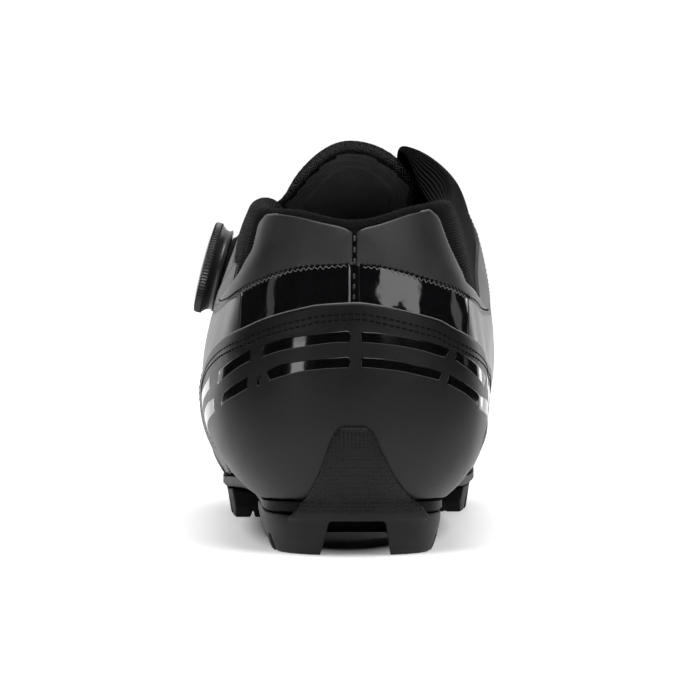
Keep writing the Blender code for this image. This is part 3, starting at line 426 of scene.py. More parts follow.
TOE_LUGS = [(240.0, 4.4), (241.2, 2.0), (250.0, 3.4), (250.8, 8.2), (254.0, 9.2), (254.8, 5.0),
            (264.0, 7.6), (266.0, 12.0)]


DIAL_Y, DIAL_Z, DIAL_TILT = 120.0, 86.6, math.radians(14.5)


DIAL_X = -45.6          # the middle of the knob


KNOB_RADIUS, KNOB_THICK, KNOB_TEETH = 15.4, 7.0, 36


DIAL_AXIS = np.array([-math.cos(DIAL_TILT), 0.0, math.sin(DIAL_TILT)])


DIAL_UP = np.array([math.sin(DIAL_TILT), 0.0, math.cos(DIAL_TILT)])


DIAL_SIDE = np.array([0.0, 1.0, 0.0])


DIAL_MID = np.array([DIAL_X, DIAL_Y, DIAL_Z])


def dial_ring(radius, along, n, tooth=0.0):
    """A ring around the dial's axis, at a distance along it from the knob's middle."""
    pts = []
    for k in range(n):
        a = 2 * math.pi * k / n
        r = radius + (tooth if k % 2 else 0.0)
        pts.append(DIAL_MID + DIAL_AXIS * along + (DIAL_UP * math.cos(a) + DIAL_SIDE * math.sin(a)) * r)
    return pts


# -------------------------------------------------------------------- camera
CAM_HEIGHT, CAM_BACK, CAM_F, HORIZON, MID = 88.0, 1000.0, 3350.0, 264.5, 350.0
cam = bpy.data.cameras.new("camera")
cam.sensor_width = 36.0
cam.lens = CAM_F / 700.0 * 36.0
cam.clip_start, cam.clip_end = 0.05, 40.0
cam_ob = bpy.data.objects.new("camera", cam)
cam_ob.location = (SHIFT_X, -CAM_BACK * 1e-3 + SHIFT_Y, CAM_HEIGHT * 1e-3)
cam_ob.rotation_euler = (math.radians(90.0) - math.atan((MID - HORIZON) / CAM_F), 0.0, 0.0)
bpy.context.scene.collection.objects.link(cam_ob)
bpy.context.scene.camera = cam_ob
bpy.context.scene.view_settings.view_transform = "Standard"
bpy.context.scene.view_settings.look = "None"

SCENE = bpy.context.scene.collection


# ----------------------------------------------------------------- materials
class Look:
    """A small helper for one node material."""

    def __init__(self, name, colour, rough, metal=0.0, spec=0.5, coat=0.0, coat_rough=0.1,
                 sheen=0.0, sheen_rough=0.5):
        self.m = bpy.data.materials.new(name)
        self.m.use_nodes = True
        self.nt = self.m.node_tree
        self.b = self.nt.nodes["Principled BSDF"]
        i = self.b.inputs
        i["Base Color"].default_value = (*colour, 1.0)
        i["Roughness"].default_value = rough
        i["Metallic"].default_value = metal
        i["Specular IOR Level"].default_value = spec
        i["Coat Weight"].default_value = coat
        i["Coat Roughness"].default_value = coat_rough
        i["Sheen Weight"].default_value = sheen
        i["Sheen Roughness"].default_value = sheen_rough
        self.colour, self.rough = colour, rough
        self.height = None
        self.m.diffuse_color = (*colour, 1.0)

    def node(self, kind, **sets):
        n = self.nt.nodes.new(kind)
        for k, v in sets.items():
            setattr(n, k, v)
        return n

    def link(self, a, b):
        self.nt.links.new(a, b)

    def coords(self, uv=False):
        if uv:
            n = self.node("ShaderNodeUVMap")
            n.uv_map = "chart"
            return n.outputs["UV"]
        return self.node("ShaderNodeTexCoord").outputs["Object"]

    def noise(self, scale, detail=3.0, rough=0.6, uv=False, stretch=None):
        n = self.node("ShaderNodeTexNoise")
        n.inputs["Scale"].default_value = scale
        n.inputs["Detail"].default_value = detail
        n.inputs["Roughness"].default_value = rough
        src = self.coords(uv)
        if stretch:
            m = self.node("ShaderNodeMapping")
            m.inputs["Scale"].default_value = stretch
            self.link(src, m.inputs["Vector"])
            src = m.outputs["Vector"]
        self.link(src, n.inputs["Vector"])
        return n.outputs["Fac"]

    def cells(self, scale, feature="F1", uv=False, randomness=1.0):
        n = self.node("ShaderNodeTexVoronoi")
        n.feature = feature
        n.inputs["Scale"].default_value = scale
        n.inputs["Randomness"].default_value = randomness
        self.link(self.coords(uv), n.inputs["Vector"])
        return n.outputs["Distance"]

    def math(self, op, a, b=None, c=None):
        n = self.node("ShaderNodeMath", operation=op)
        for k, x in enumerate((a, b, c)):
            if x is None:
                continue
            if isinstance(x, (int, float)):
                n.inputs[k].default_value = x
            else:
                self.link(x, n.inputs[k])
        return n.outputs[0]

    def ramp(self, fac, lo, hi, a=0.0, b=1.0):
        n = self.node("ShaderNodeMapRange")
        n.inputs["From Min"].default_value = lo
        n.inputs["From Max"].default_value = hi
        n.inputs["To Min"].default_value = a
        n.inputs["To Max"].default_value = b
        self.link(fac, n.inputs["Value"])
        return n.outputs["Result"]

    def tint(self, fac, low, high):
        """Base colour from fac between two colours."""
        n = self.node("ShaderNodeMix", data_type="RGBA")
        n.inputs["A"].default_value = (*low, 1.0)
        n.inputs["B"].default_value = (*high, 1.0)
        self.link(fac, n.inputs["Factor"])
        self.link(n.outputs["Result"], self.b.inputs["Base Color"])
        return self

    def roughen(self, fac, lo, hi):
        self.link(self.ramp(fac, 0.25, 0.75, lo, hi), self.b.inputs["Roughness"])
        return self

    def bump(self, fac, depth_mm, strength=1.0):
        n = self.node("ShaderNodeBump")
        n.inputs["Strength"].default_value = strength
        n.inputs["Distance"].default_value = depth_mm * 1e-3
        self.link(fac, n.inputs["Height"])
        if self.height is not None:
            self.link(self.height, n.inputs["Normal"])
        self.height = n.outputs["Normal"]
        self.link(self.height, self.b.inputs["Normal"])
        return self


def split_uv(look):
    n = look.node("ShaderNodeSeparateXYZ")
    look.link(look.coords(True), n.inputs[0])
    return n.outputs[0], n.outputs[1]


def microfibre(name, colour, lo, hi, spec=0.5, grain=0.05, coat=0.0, coat_rough=0.3):
    k = Look(name, colour, 0.5 * (lo + hi), spec=spec, coat=coat, coat_rough=coat_rough)
    big = k.noise(90.0, 3.0)
    fine = k.noise(2600.0, 2.0)
    k.roughen(big, lo, hi)
    k.tint(k.ramp(big, 0.3, 0.7), tuple(c * 0.82 for c in colour), tuple(c * 1.2 for c in colour))
    k.bump(k.cells(1500.0, "SMOOTH_F1"), grain)
    k.bump(fine, grain * 0.6)
    return k.m


def knit(name, colour, pitch=0.66, depth=0.16, herring=False, slant=0.06):
    """A warp-knit rib: rows along the chart's U, or a herringbone."""
    k = Look(name, colour, 0.75, spec=0.045)
    u, w = split_uv(k)
    wob = k.math("MULTIPLY", k.math("SUBTRACT", k.noise(0.12, 2.0, uv=True), 0.5), 1.2)
    if herring:
        fold = k.math("PINGPONG", u, 1.3)
        t = k.math("ADD", k.math("MULTIPLY", fold, 1.5), w)
    else:
        t = k.math("ADD", w, k.math("MULTIPLY", u, slant))
    t = k.math("ADD", t, wob)
    row = k.math("SINE", k.math("MULTIPLY", t, 2 * math.pi / pitch))
    row = k.ramp(row, -1.0, 1.0)
    stitch = k.ramp(k.math("SINE", k.math("MULTIPLY", u, 2 * math.pi / 0.55)), -1.0, 1.0)
    h = k.math("ADD", row, k.math("MULTIPLY", k.math("MULTIPLY", stitch, row), 0.22))
    k.bump(h, depth)
    k.bump(k.noise(5200.0, 2.0), 0.05)
    # Painted shade and highlight: the colour runs from dark in the rib valleys to pale on the rib tops, following the
    # rib rows.
    shade = k.math("MULTIPLY", k.math("ADD", row, k.math("MULTIPLY", k.noise(900.0, 2.0), 0.6)), 0.6)
    k.tint(shade, tuple(c * 0.05 for c in colour), tuple(c * 3.8 for c in colour))
    return k.m


def woven(name, colour, pitch=0.8, depth=0.12):
    k = Look(name, colour, 0.8, spec=0.2, sheen=0.2)
    u, w = split_uv(k)
    a = k.ramp(k.math("SINE", k.math("MULTIPLY", u, 2 * math.pi / pitch)), -1, 1)
    b = k.ramp(k.math("SINE", k.math("MULTIPLY", w, 2 * math.pi / pitch)), -1, 1)
    h = k.math("MAXIMUM", a, b)
    k.bump(h, depth)
    k.bump(k.noise(3500.0, 2.0), 0.05)
    k.tint(k.math("MULTIPLY", h, k.noise(700.0)), tuple(c * 0.4 for c in colour),
           tuple(c * 1.7 for c in colour))
    return k.m


def patent(name, colour, rough=0.07, wavy=0.10, spec=0.7, coat=0.9):
    k = Look(name, colour, rough, spec=spec, coat=coat, coat_rough=0.03)
    k.bump(k.noise(160.0, 2.0), wavy)
    k.bump(k.noise(1400.0, 1.0), 0.004)
    k.roughen(k.noise(300.0), rough * 0.7, rough * 1.5)
    return k.m


def rubber(name, colour, lo, hi, fine=0.05):
    k = Look(name, colour, 0.5 * (lo + hi), spec=0.26)
    big = k.noise(70.0, 4.0)
    k.roughen(big, lo, hi)
    k.tint(k.ramp(big, 0.3, 0.7), tuple(c * 0.8 for c in colour), tuple(c * 1.25 for c in colour))
    k.bump(k.noise(1300.0, 3.0), fine)
    return k.m


def plastic(name, colour, lo, hi, fine=0.02):
    k = Look(name, colour, 0.5 * (lo + hi), spec=0.5)
    big = k.noise(130.0, 3.0)
    k.roughen(big, lo, hi)
    k.bump(k.noise(1800.0, 2.0), fine)
    return k.m


M_PANEL = microfibre("heel_panel_microfibre", (0.0155, 0.0155, 0.0165), 0.40, 0.50, 0.5, 0.03)
M_CUP = microfibre("counter_microfibre", (0.0030, 0.0030, 0.0034), 0.38, 0.48, 0.32, 0.02)
M_QUARTER = microfibre("quarter_microfibre", (0.0130, 0.0130, 0.0140), 0.40, 0.52, 0.45, 0.03)
M_SATIN = microfibre("satin_band", (0.012, 0.012, 0.013), 0.26, 0.34, 0.42, 0.02)
M_VAMP = microfibre("vamp_microfibre", (0.014, 0.014, 0.015), 0.42, 0.54, 0.45, 0.035)
M_GLOSS = patent("gloss_patent", (0.0025, 0.0025, 0.003))
M_STRIPE = patent("gloss_stripe", (0.002, 0.002, 0.0024), 0.10, 0.03, spec=0.4, coat=0.3)
# The three knits carry painted rib shade and highlight in their colour.
M_KNIT = knit("ribbed_knit", (0.0060, 0.0060, 0.0065), pitch=0.86, depth=1.0)
M_RIM = knit("tongue_rim_knit", (0.026, 0.026, 0.0273), pitch=0.95, depth=0.5, herring=True)
M_HERRING = knit("herringbone_knit", (0.0085, 0.0085, 0.0090), pitch=0.84, depth=0.8, herring=True)
M_LINING = woven("lining_mesh", (0.010, 0.010, 0.0105), 1.1, 0.10)
# The tongue's underside lining is pale grey, far lighter than the other blacks: painted light for the patch lit through
# the collar opening.
M_LINING_PAINTED_LIGHT = microfibre("lining_painted_light", (0.11, 0.11, 0.115), 0.55, 0.7, 0.3, 0.02)
M_BODY = microfibre("base_microfibre", (0.007, 0.007, 0.0075), 0.5, 0.6, 0.35, 0.03)
M_THREAD = Look("stitch_thread", (0.010, 0.010, 0.011), 0.40, spec=0.55)
M_THREAD.bump(M_THREAD.noise(5000.0), 0.05)
M_THREAD = M_THREAD.m
M_NYLON = plastic("black_nylon", (0.006, 0.006, 0.0063), 0.38, 0.50)
M_NYLON.node_tree.nodes["Principled BSDF"].inputs["Specular IOR Level"].default_value = 0.04
M_RUBBER = rubber("black_rubber", (0.0052, 0.0052, 0.0056), 0.5, 0.62)
M_LUG = rubber("lug_rubber", (0.0040, 0.0040, 0.0043), 0.55, 0.68)
M_LUG.node_tree.nodes["Principled BSDF"].inputs["Specular IOR Level"].default_value = 0.12
M_KNOB = plastic("knob_plastic", (0.016, 0.016, 0.017), 0.26, 0.36)
M_BASE = plastic("dial_base_plastic", (0.008, 0.008, 0.0085), 0.4, 0.5)
# Near black, for the insides of holes and stitch grooves: painted shade.
M_PAINTED_HOLE_SHADE = Look("hole_painted_shade", (0.002, 0.002, 0.002), 0.9, spec=0.1).m


def cable_look():
    k = Look("coated_cable", (0.10, 0.10, 0.11), 0.32, metal=0.7)
    k.bump(k.noise(4000.0), 0.05)
    k.roughen(k.noise(900.0), 0.25, 0.4)
    return k.m


M_CABLE = cable_look()
# A pale grey for thin cords laid along edges: painted highlights on the edges of the black leather.
M_EDGE_PAINTED_HIGHLIGHT = microfibre("edge_painted_highlight", (0.13, 0.13, 0.137), 0.26, 0.36, 0.6, 0.02)

# ------------------------------------------------------------ mesh utilities
L_S, L_V = 610.0, 88.0      # millimetres for one turn of s and the whole of v


def mesh_object(name, verts, faces, mats, uv=None, face_mat=None, smooth=True, sharp=None):
    """verts in metres (n,3); faces lists of indices; uv one pair per loop or per vertex."""
    me = bpy.data.meshes.new(name)
    me.from_pydata([tuple(v) for v in np.asarray(verts, float)], [], [tuple(int(i) for i in f) for f in faces])
    me.update()
    for m in (mats if isinstance(mats, (list, tuple)) else [mats]):
        me.materials.append(m)
    if face_mat is not None:
        me.polygons.foreach_set("material_index", np.asarray(face_mat, np.int32))
    if uv is not None:
        uv = np.asarray(uv, float)
        if len(uv) == len(me.vertices):
            idx = np.zeros(len(me.loops), np.int32)
            me.loops.foreach_get("vertex_index", idx)
            uv = uv[idx]
        lay = me.uv_layers.new(name="chart")
        lay.data.foreach_set("uv", uv.astype(np.float32).ravel())
    if smooth:
        me.shade_smooth()
        if sharp:
            me.set_sharp_from_angle(angle=math.radians(sharp))
    ob = bpy.data.objects.new(name, me)
    SCENE.objects.link(ob)
    return ob


def ride(ob, slot, *nodes):
    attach(ob, "root")
    if nodes:
        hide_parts(*nodes)
    return ob


def skin(s, v, h):
    """A point of the upper's outer face moved out by h millimetres, graded."""
    s, v, h = np.broadcast_arrays(np.asarray(s, float), np.asarray(v, float), np.asarray(h, float))
    return grade(upper_point(s, v) + upper_normal(s, v) * h[..., None])


def project(p):
    k = CAM_F / (CAM_BACK + p[..., 1])
    return np.stack([MID + p[..., 0] * k, HORIZON + (CAM_HEIGHT - p[..., 2]) * k], -1)


_gs = np.linspace(-0.30, 0.30, 1201)
_gv = np.linspace(0, 1, 201)
_GS, _GV = np.meshgrid(_gs, _gv, indexing="ij")
_GP = upper_point(_GS, _GV)
_face = upper_normal(_GS, _GV)[..., 1] < 0.10
_BACK = (project(_GP)[_face], _GS[_face], _GV[_face], _GP[_face][:, 1])


def newton(fun, target, s, v):
    for _ in range(6):
        q = fun(s, v)
        e = target - q
        if np.hypot(*e) < 1e-3:
            break
        d = 1e-4
        a, b = (fun(s + d, v) - q) / d, (fun(s, min(v + d, 1.0)) - fun(s, max(v - d, 0.0))) / (2 * d)
        m = np.stack([a, b], 1)
        det = np.linalg.det(m)
        if abs(det) < 1e-6:
            break
        st = np.linalg.solve(m, e)
        st = np.clip(st, -0.02, 0.02)
        s2, v2 = s + st[0], float(np.clip(v + st[1], 0, 1))
        if np.hypot(*(target - fun(s2, v2))) > np.hypot(*e):
            break
        s, v = s2, v2
    return s, v


def on_back(px, py):
    """(s, v) of the skin at a place in the rear view: the surface nearest the eye."""
    q, s, v, y = _BACK
    d = np.hypot(q[:, 0] - px, q[:, 1] - py)
    near = d < d.min() + 0.8
    i = np.flatnonzero(near)[np.argmin(y[near] + 6 * d[near])]
    t = np.array([px, py], float)
    s1, v1 = newton(lambda a, b: project(upper_point(a, b)), t, float(s[i]), float(v[i]))
    return (s1, v1) if abs(s1 - s[i]) < 0.02 else (float(s[i]), float(v[i]))


_ls = np.linspace(0.01, 0.99, 1961)
_LS, _LV = np.meshgrid(_ls, _gv, indexing="ij")
_LP = upper_point(_LS, _LV)


def on_side(side, y, z):
    """(s, v) of the skin at a distance from the heel and a height, on one side."""
    half = _LS < 0.5 if side < 0 else _LS > 0.5
    d = np.where(half, np.hypot(_LP[..., 1] - y, _LP[..., 2] - z), 1e9)
    i, j = np.unravel_index(np.argmin(d), d.shape)
    s, v = float(_LS[i, j]), float(_LV[i, j])
    s, v = newton(lambda a, b: upper_point(a, b)[1:], np.array([y, z], float), s, v)
    return (s if side < 0 else s - 1.0), v


def locate(kind, a, b):
    """b: a place in the rear view; l, m: side, distance and height; c: chart."""
    if kind == "b":
        return on_back(a, b)
    if kind in "lm":
        return on_side(-1 if kind == "l" else 1, a, b)
    return a, b


def chart(specs, toe=False):
    out = []
    for sp in specs:
        s, v = locate(*sp[:3])
        if toe and s < 0:
            s += 1.0
        out.append((s * L_S, v * L_V))
    return np.array(out)


def smooth_run(p, step, closed=False, corners=()):
    """Catmull-Rom through the points, with corners kept, at an even step."""
    n = len(p)
    out = []
    last = n if closed else n - 1
    for i in range(last):
        a, b = p[i], p[(i + 1) % n]
        pa = p[i - 1] if (closed or i > 0) and i not in corners else 2 * a - b
        j = (i + 1) % n
        pb = p[(i + 2) % n] if (closed or i + 2 < n) and j not in corners else 2 * b - a
        k = max(1, int(np.ceil(np.linalg.norm(b - a) / step)))
        for t in np.arange(k) / k:
            out.append(0.5 * (2 * a + (b - pa) * t + (2 * pa - 5 * a + 4 * b - pb) * t * t
                              + (3 * a - pa - 3 * b + pb) * t ** 3))
    if not closed:
        out.append(p[-1])
    return np.array(out)


def outline_of(specs, toe=False, step=1.0):
    p = chart(specs, toe)
    corners = [i for i, sp in enumerate(specs) if len(sp) > 3 and sp[3]]
    b = smooth_run(p, step, True, corners)
    area = 0.5 * np.sum(b[:, 0] * np.roll(b[:, 1], -1) - np.roll(b[:, 0], -1) * b[:, 1])
    return b if area > 0 else b[::-1]


def distance(q, b, closed=True):
    a = b if closed else b[:-1]
    c = np.roll(b, -1, 0) if closed else b[1:]
    ab = c - a
    ll = np.maximum((ab ** 2).sum(1), 1e-12)
    out = np.empty(len(q))
    for k in range(0, len(q), 4000):
        w = q[k:k + 4000, None, :] - a[None]
        t = np.clip((w * ab).sum(-1) / ll, 0, 1)
        out[k:k + 4000] = np.sqrt(((w - ab * t[..., None]) ** 2).sum(-1)).min(1)
    return out


def inside(q, b):
    x0, y0 = b[:, 0], b[:, 1]
    x1, y1 = np.roll(x0, -1), np.roll(y0, -1)
    out = np.zeros(len(q), bool)
    for k in range(0, len(q), 4000):
        x, y = q[k:k + 4000, 0:1], q[k:k + 4000, 1:2]
        hit = ((y0 > y) != (y1 > y)) & (x < (x1 - x0) * (y - y0) / np.where(y1 == y0, 1e-12, y1 - y0) + x0)
        out[k:k + 4000] = hit.sum(1) % 2 == 1
    return out


def signed(q, b):
    d = distance(q, b)
    return np.where(inside(q, b), d, -d)


COVER = []      # outlines of the overlays, for the base shell


def patch(name, b, lift, thick, mat, slot, edge=0.7, sunk=0.55, grid=1.9, extra=None, cover=True,
          flat=False):
    """An overlay on the skin inside the closed chart outline b."""
    if cover:
        COVER.append(b)
    lo, hi = b.min(0), b.max(0)
    xs = np.arange(lo[0], hi[0], grid)
    ys = np.arange(lo[1], hi[1], grid * 0.866)
    hexes = np.array([(x + (grid / 2 if k % 2 else 0), y) for k, y in enumerate(ys) for x in xs])
    t = np.roll(b, -1, 0) - np.roll(b, 1, 0)
    n = np.stack([-t[:, 1], t[:, 0]], -1)
    n /= np.maximum(np.linalg.norm(n, axis=1, keepdims=True), 1e-9)
    pts = [b]
    rings = (0.10, 0.28, 0.55, 1.0) if not flat else (0.08, 0.25)
    for d in rings:
        q = b + n * d
        keep = inside(q, b)
        q = q[keep]
        if len(q):
            q = q[distance(q, b) > 0.93 * d]
            pts.append(q)
    if len(hexes):
        hexes = hexes[inside(hexes, b)]
        if len(hexes):
            hexes = hexes[distance(hexes, b) > rings[-1] + grid * 0.45]
            pts.append(hexes)
    q = np.concatenate(pts)
    rv, _, rf, _, _, _ = delaunay_2d_cdt([Vector(p) for p in q], [], [list(range(len(b)))], 1, 1e-5)
    q = np.array([tuple(p) for p in rv])
    d = distance(q, b)
    prof = np.sqrt(np.clip(1 - (1 - np.clip(d / edge, 0, 1)) ** 2, 0, 1))
    h = lift + thick * prof
    if extra is not None:
        h = h + extra(q, d) * np.clip(d / 0.5, 0, 1)
    h = np.where(d < 1e-3, lift - sunk, h)
    verts = skin(q[:, 0] / L_S, q[:, 1] / L_V, h)
    faces = [tuple(f)[::-1] for f in rf if len(f) == 3]
    return ride(mesh_object(name, verts, faces, mat, uv=q), slot)


def capsules(name, centres, tangents, normals, length, radius, mat, slot, dip=0.35, flatten=0.8):
    """Joined stitches: short threads that dive in at both ends.  Metres."""
    rows, sides = 7, 6
    base_v, base_f = [], []
    ts = np.linspace(-1, 1, rows)
    verts, faces = [], []
    ang = np.linspace(0, 2 * math.pi, sides, endpoint=False)
    n = len(centres)
    c, t, m = map(np.asarray, (centres, tangents, normals))
    side = np.cross(t, m)
    allv = []
    for u in ts:
        r = radius * math.sqrt(max(0.0, 1 - abs(u) ** 3)) + radius * 0.05
        up = -dip * radius * 3.2 * u * u
        for a in ang:
            allv.append(c + t * (u * length / 2) + m * (up + r * flatten * math.sin(a))
                        + side * (r * math.cos(a)))
    allv = np.stack(allv, 1)      # n, rows*sides, 3
    k = rows * sides
    for i in range(n):
        o = i * k
        for r in range(rows - 1):
            for a in range(sides):
                b2 = (a + 1) % sides
                faces.append((o + r * sides + a, o + r * sides + b2, o + (r + 1) * sides + b2,
                              o + (r + 1) * sides + a))
        faces.append(tuple(o + a for a in range(sides))[::-1])
        faces.append(tuple(o + (rows - 1) * sides + a for a in range(sides)))
    return ride(mesh_object(name, allv.reshape(-1, 3), faces, mat), slot)


def along_chart(p, pitch):
    """Even places on a chart curve, measured on the real surface: centres and tangents."""
    xyz = upper_point(p[:, 0] / L_S, p[:, 1] / L_V)
    step = np.linalg.norm(np.diff(xyz, axis=0), axis=1)
    arc = np.concatenate([[0], np.cumsum(step)])
    n = max(1, int(arc[-1] / pitch))
    at = (np.arange(n) + 0.5) * arc[-1] / n
    q = np.stack([np.interp(at, arc, p[:, 0]), np.interp(at, arc, p[:, 1])], -1)
    e = 0.15
    q2 = np.stack([np.interp(at + e, arc, p[:, 0]), np.interp(at + e, arc, p[:, 1])], -1)
    q1 = np.stack([np.interp(at - e, arc, p[:, 0]), np.interp(at - e, arc, p[:, 1])], -1)
    return q, q1, q2


def stitches(name, runs, lift, pitch=2.0, length=1.35, radius=0.20, mat=None, slot="upper", dip=0.3):
    """runs: chart curves (n,2).  One object of all stitches on them."""
    cs, ts, ns = [], [], []
    for p in runs:
        q, q1, q2 = along_chart(p, pitch)
        s, v = q[:, 0] / L_S, q[:, 1] / L_V
        c = skin(s, v, lift)
        t = skin(q2[:, 0] / L_S, q2[:, 1] / L_V, lift) - skin(q1[:, 0] / L_S, q1[:, 1] / L_V, lift)
        t /= np.linalg.norm(t, axis=1, keepdims=True)
        cs.append(c)
        ts.append(t)
        ns.append(upper_normal(s, v))
    return capsules(name, np.concatenate(cs), np.concatenate(ts), np.concatenate(ns),
                    length * 1e-3, radius * 1e-3, mat or M_THREAD, slot, dip)


def run(specs, toe=False, step=1.0):
    p = chart(specs, toe)
    corners = [i for i, sp in enumerate(specs) if len(sp) > 3 and sp[3]]
    return smooth_run(p, step, False, corners)


def B(*pairs):
    return [("b", *p) for p in pairs]


def Ls(*pairs):
    return [("l", *p) for p in pairs]


def Ms(*pairs):
    return [("m", *p) for p in pairs]


# ------------------------------------------------- curves shared by overlays
# The counter's top edge, from the lateral feather edge over the heel to the medial
COUNTER_TOP = (Ls((166, 16.5), (150, 25), (130, 33.5), (105, 42.5), (85, 49), (57, 58), (36, 63.5))
               + B((232, 334), (245, 328), (260, 321), (280, 314), (300, 309), (320, 305), (353, 303),
                   (375, 305), (400, 310), (420, 315), (440, 321), (452, 328), (467, 336), (480, 347))
               + Ms((50, 58.5), (70, 55.5), (90, 50.5), (110, 43.5), (130, 35.5), (150, 27), (166, 17.5)))


def join(*runs):
    """One closed outline from runs laid end to end."""
    pts = [runs[0]]
    for r in runs[1:]:
        pts.append(r[1:] if np.linalg.norm(r[0] - pts[-1][-1]) < 0.3 else r)
    b = np.concatenate(pts)
    if np.linalg.norm(b[0] - b[-1]) < 0.3:
        b = b[:-1]
    keep = np.linalg.norm(b - np.roll(b, 1, 0), axis=1) > 0.05
    b = b[keep]
    area = 0.5 * np.sum(b[:, 0] * np.roll(b[:, 1], -1) - np.roll(b[:, 0], -1) * b[:, 1])
    return b if area > 0 else b[::-1]


def pinked(p, pitch=2.0, deep=0.55):
    """A run with small teeth."""
    arc = np.concatenate([[0], np.cumsum(np.linalg.norm(np.diff(p, axis=0), axis=1))])
    n = max(2, int(round(arc[-1] / (pitch / 2))))
    at = np.linspace(0, arc[-1], n + 1)
    q = np.stack([np.interp(at, arc, p[:, 0]), np.interp(at, arc, p[:, 1])], -1)
    t = np.gradient(q, axis=0)
    t /= np.linalg.norm(t, axis=1, keepdims=True)
    side = np.stack([-t[:, 1], t[:, 0]], -1)
    off = np.where(np.arange(n + 1) % 2 == 1, deep, -deep)
    off[0] = off[-1] = 0
    return q + side * off[:, None]


def shifted(p, d):
    """A run moved sideways by d in the chart, to its left when d is positive."""
    t = np.gradient(p, axis=0)
    t /= np.maximum(np.linalg.norm(t, axis=1, keepdims=True), 1e-9)
    return p + np.stack([-t[:, 1], t[:, 0]], -1) * d


def tube_on_skin(name, p, lift, radius, mat, slot="upper", sides=8, taper=True):
    """A thin cord laid on the skin along a chart run."""
    arc = np.concatenate([[0], np.cumsum(np.linalg.norm(np.diff(p, axis=0), axis=1))])
    n = max(3, int(arc[-1] / 0.9))
    at = np.linspace(0, arc[-1], n)
    q = np.stack([np.interp(at, arc, p[:, 0]), np.interp(at, arc, p[:, 1])], -1)
    c = skin(q[:, 0] / L_S, q[:, 1] / L_V, lift)
    m = upper_normal(q[:, 0] / L_S, q[:, 1] / L_V)
    t = np.gradient(c, axis=0)
    t /= np.linalg.norm(t, axis=1, keepdims=True)
    b = np.cross(t, m)
    r = np.full(n, radius * 1e-3)
    if taper:
        r[0] = r[-1] = radius * 3e-4
    verts = []
    for k in range(sides):
        a = 2 * math.pi * k / sides
        verts.append(c + m * (r * math.sin(a))[:, None] + b * (r * math.cos(a))[:, None])
    verts = np.stack(verts, 1).reshape(-1, 3)
    faces = [(i * sides + k, i * sides + (k + 1) % sides, (i + 1) * sides + (k + 1) % sides, (i + 1) * sides + k)
             for i in range(n - 1) for k in range(sides)]
    faces += [tuple(range(sides))[::-1], tuple(range((n - 1) * sides, n * sides))]
    return ride(mesh_object(name, verts, faces, mat), slot)


# ------------------------------------------------------------ heel overlays
counter_top = run(COUNTER_TOP)
s0, s1 = counter_top[0, 0] / L_S, counter_top[-1, 0] / L_S
feather_run = np.array([(s * L_S, 0.006 * L_V) for s in np.linspace(s1, s0, 180)])
counter = join(counter_top, feather_run)


def cup_form(q, d):
    """The counter's slight hollow under its stitched edge."""
    e = distance(q, counter_top, closed=False)
    groove = -0.22 * np.exp(-((e - 7.0) / 0.7) ** 2)
    return groove * (np.abs(q[:, 0]) < 92)


patch("heel_counter", counter, 0.05, 0.55, M_CUP, "upper", edge=0.55, grid=1.7, extra=cup_form)

panel_bottom_l = run(B((352.7, 266.5), (345, 266), (320, 268), (300, 270), (280, 275), (264, 281), (250, 288),
                       (240, 294), (230, 301)))
wing_l = run(B((230, 301)) + Ls((46, 75.2), (58, 75.6)))
side_l = run(Ls((58, 75.6), (50, 77.6)) + B((230, 290), (240, 275), (247, 262), (254, 250), (258, 235),
                                          (261, 224), (268, 215.5)))
top_l = run(B((268, 215.5), (280, 213), (290, 214), (300, 217), (320, 222), (340, 226.5), (352.7, 231.5)))
centre_l = run([("b", 352.7, 231.5), ("b", 352.7, 249), ("b", 352.7, 266.5)])
panel_l = join(pinked(panel_bottom_l), wing_l, side_l, top_l, centre_l)
panel_bottom_r = run(B((356.3, 266.5), (358, 267), (375, 268), (400, 273.5), (420, 279.5), (440, 286), (455, 292),
                       (468, 300.5)))
wing_r = run(B((468, 300.5)) + Ms((38, 74.6), (60, 72.8), (82, 72.6)))
side_r = run(Ms((82, 72.6), (70, 74.4), (57.7, 77.2)) + B((468, 287), (460, 272), (453, 258), (447, 245), (442, 232),
                                            (437, 219), (428, 209.8)))
top_r = run(B((428, 209.8), (420, 209.5), (400, 217), (380, 224), (366, 227.5), (356.3, 231.5)))
centre_r = run([("b", 356.3, 231.5), ("b", 356.3, 249), ("b", 356.3, 266.5)])
panel_r = join(pinked(panel_bottom_r), wing_r, side_r, top_r, centre_r)


def pillow(q, d):
    return 0.55 * (1 - np.exp(-np.maximum(d - 0.5, 0) / 6.0))


patch("heel_panel_lateral", panel_l, 0.15, 0.65, M_PANEL, "upper", edge=0.6, extra=pillow, grid=1.6)
patch("heel_panel_medial", panel_r, 0.15, 0.65, M_PANEL, "upper", edge=0.6, extra=pillow, grid=1.6)
COVER.append(outline_of([("b", 345, 236, 1), ("b", 364, 236, 1), ("b", 364, 262, 1), ("b", 345, 262, 1)]))

gloss_l = outline_of(B((349.2, 262)) + B((320, 264), (300, 266), (280, 271), (264, 277), (250, 284))
                     + [("b", 240.5, 290, 1), ("b", 239.5, 333, 1)]
                     + B((250, 330), (264, 324), (280, 318.5), (300, 313.5), (320, 309.5)) + [("b", 349.2, 307.5, 1)])
gloss_r = outline_of([("b", 358.8, 262, 1)] + B((375, 264), (400, 269.5), (420, 275.5), (440, 282))
                     + [("b", 468.5, 294, 1), ("b", 468.5, 343, 1)]
                     + B((452, 333), (440, 326), (420, 319.5), (400, 314.5), (375, 309.5)) + [("b", 358.8, 307.5, 1)])


def ripple(q, d):
    return 0.10 * np.sin(q[:, 0] * 0.55) * np.sin(q[:, 1] * 0.35 + 0.6)


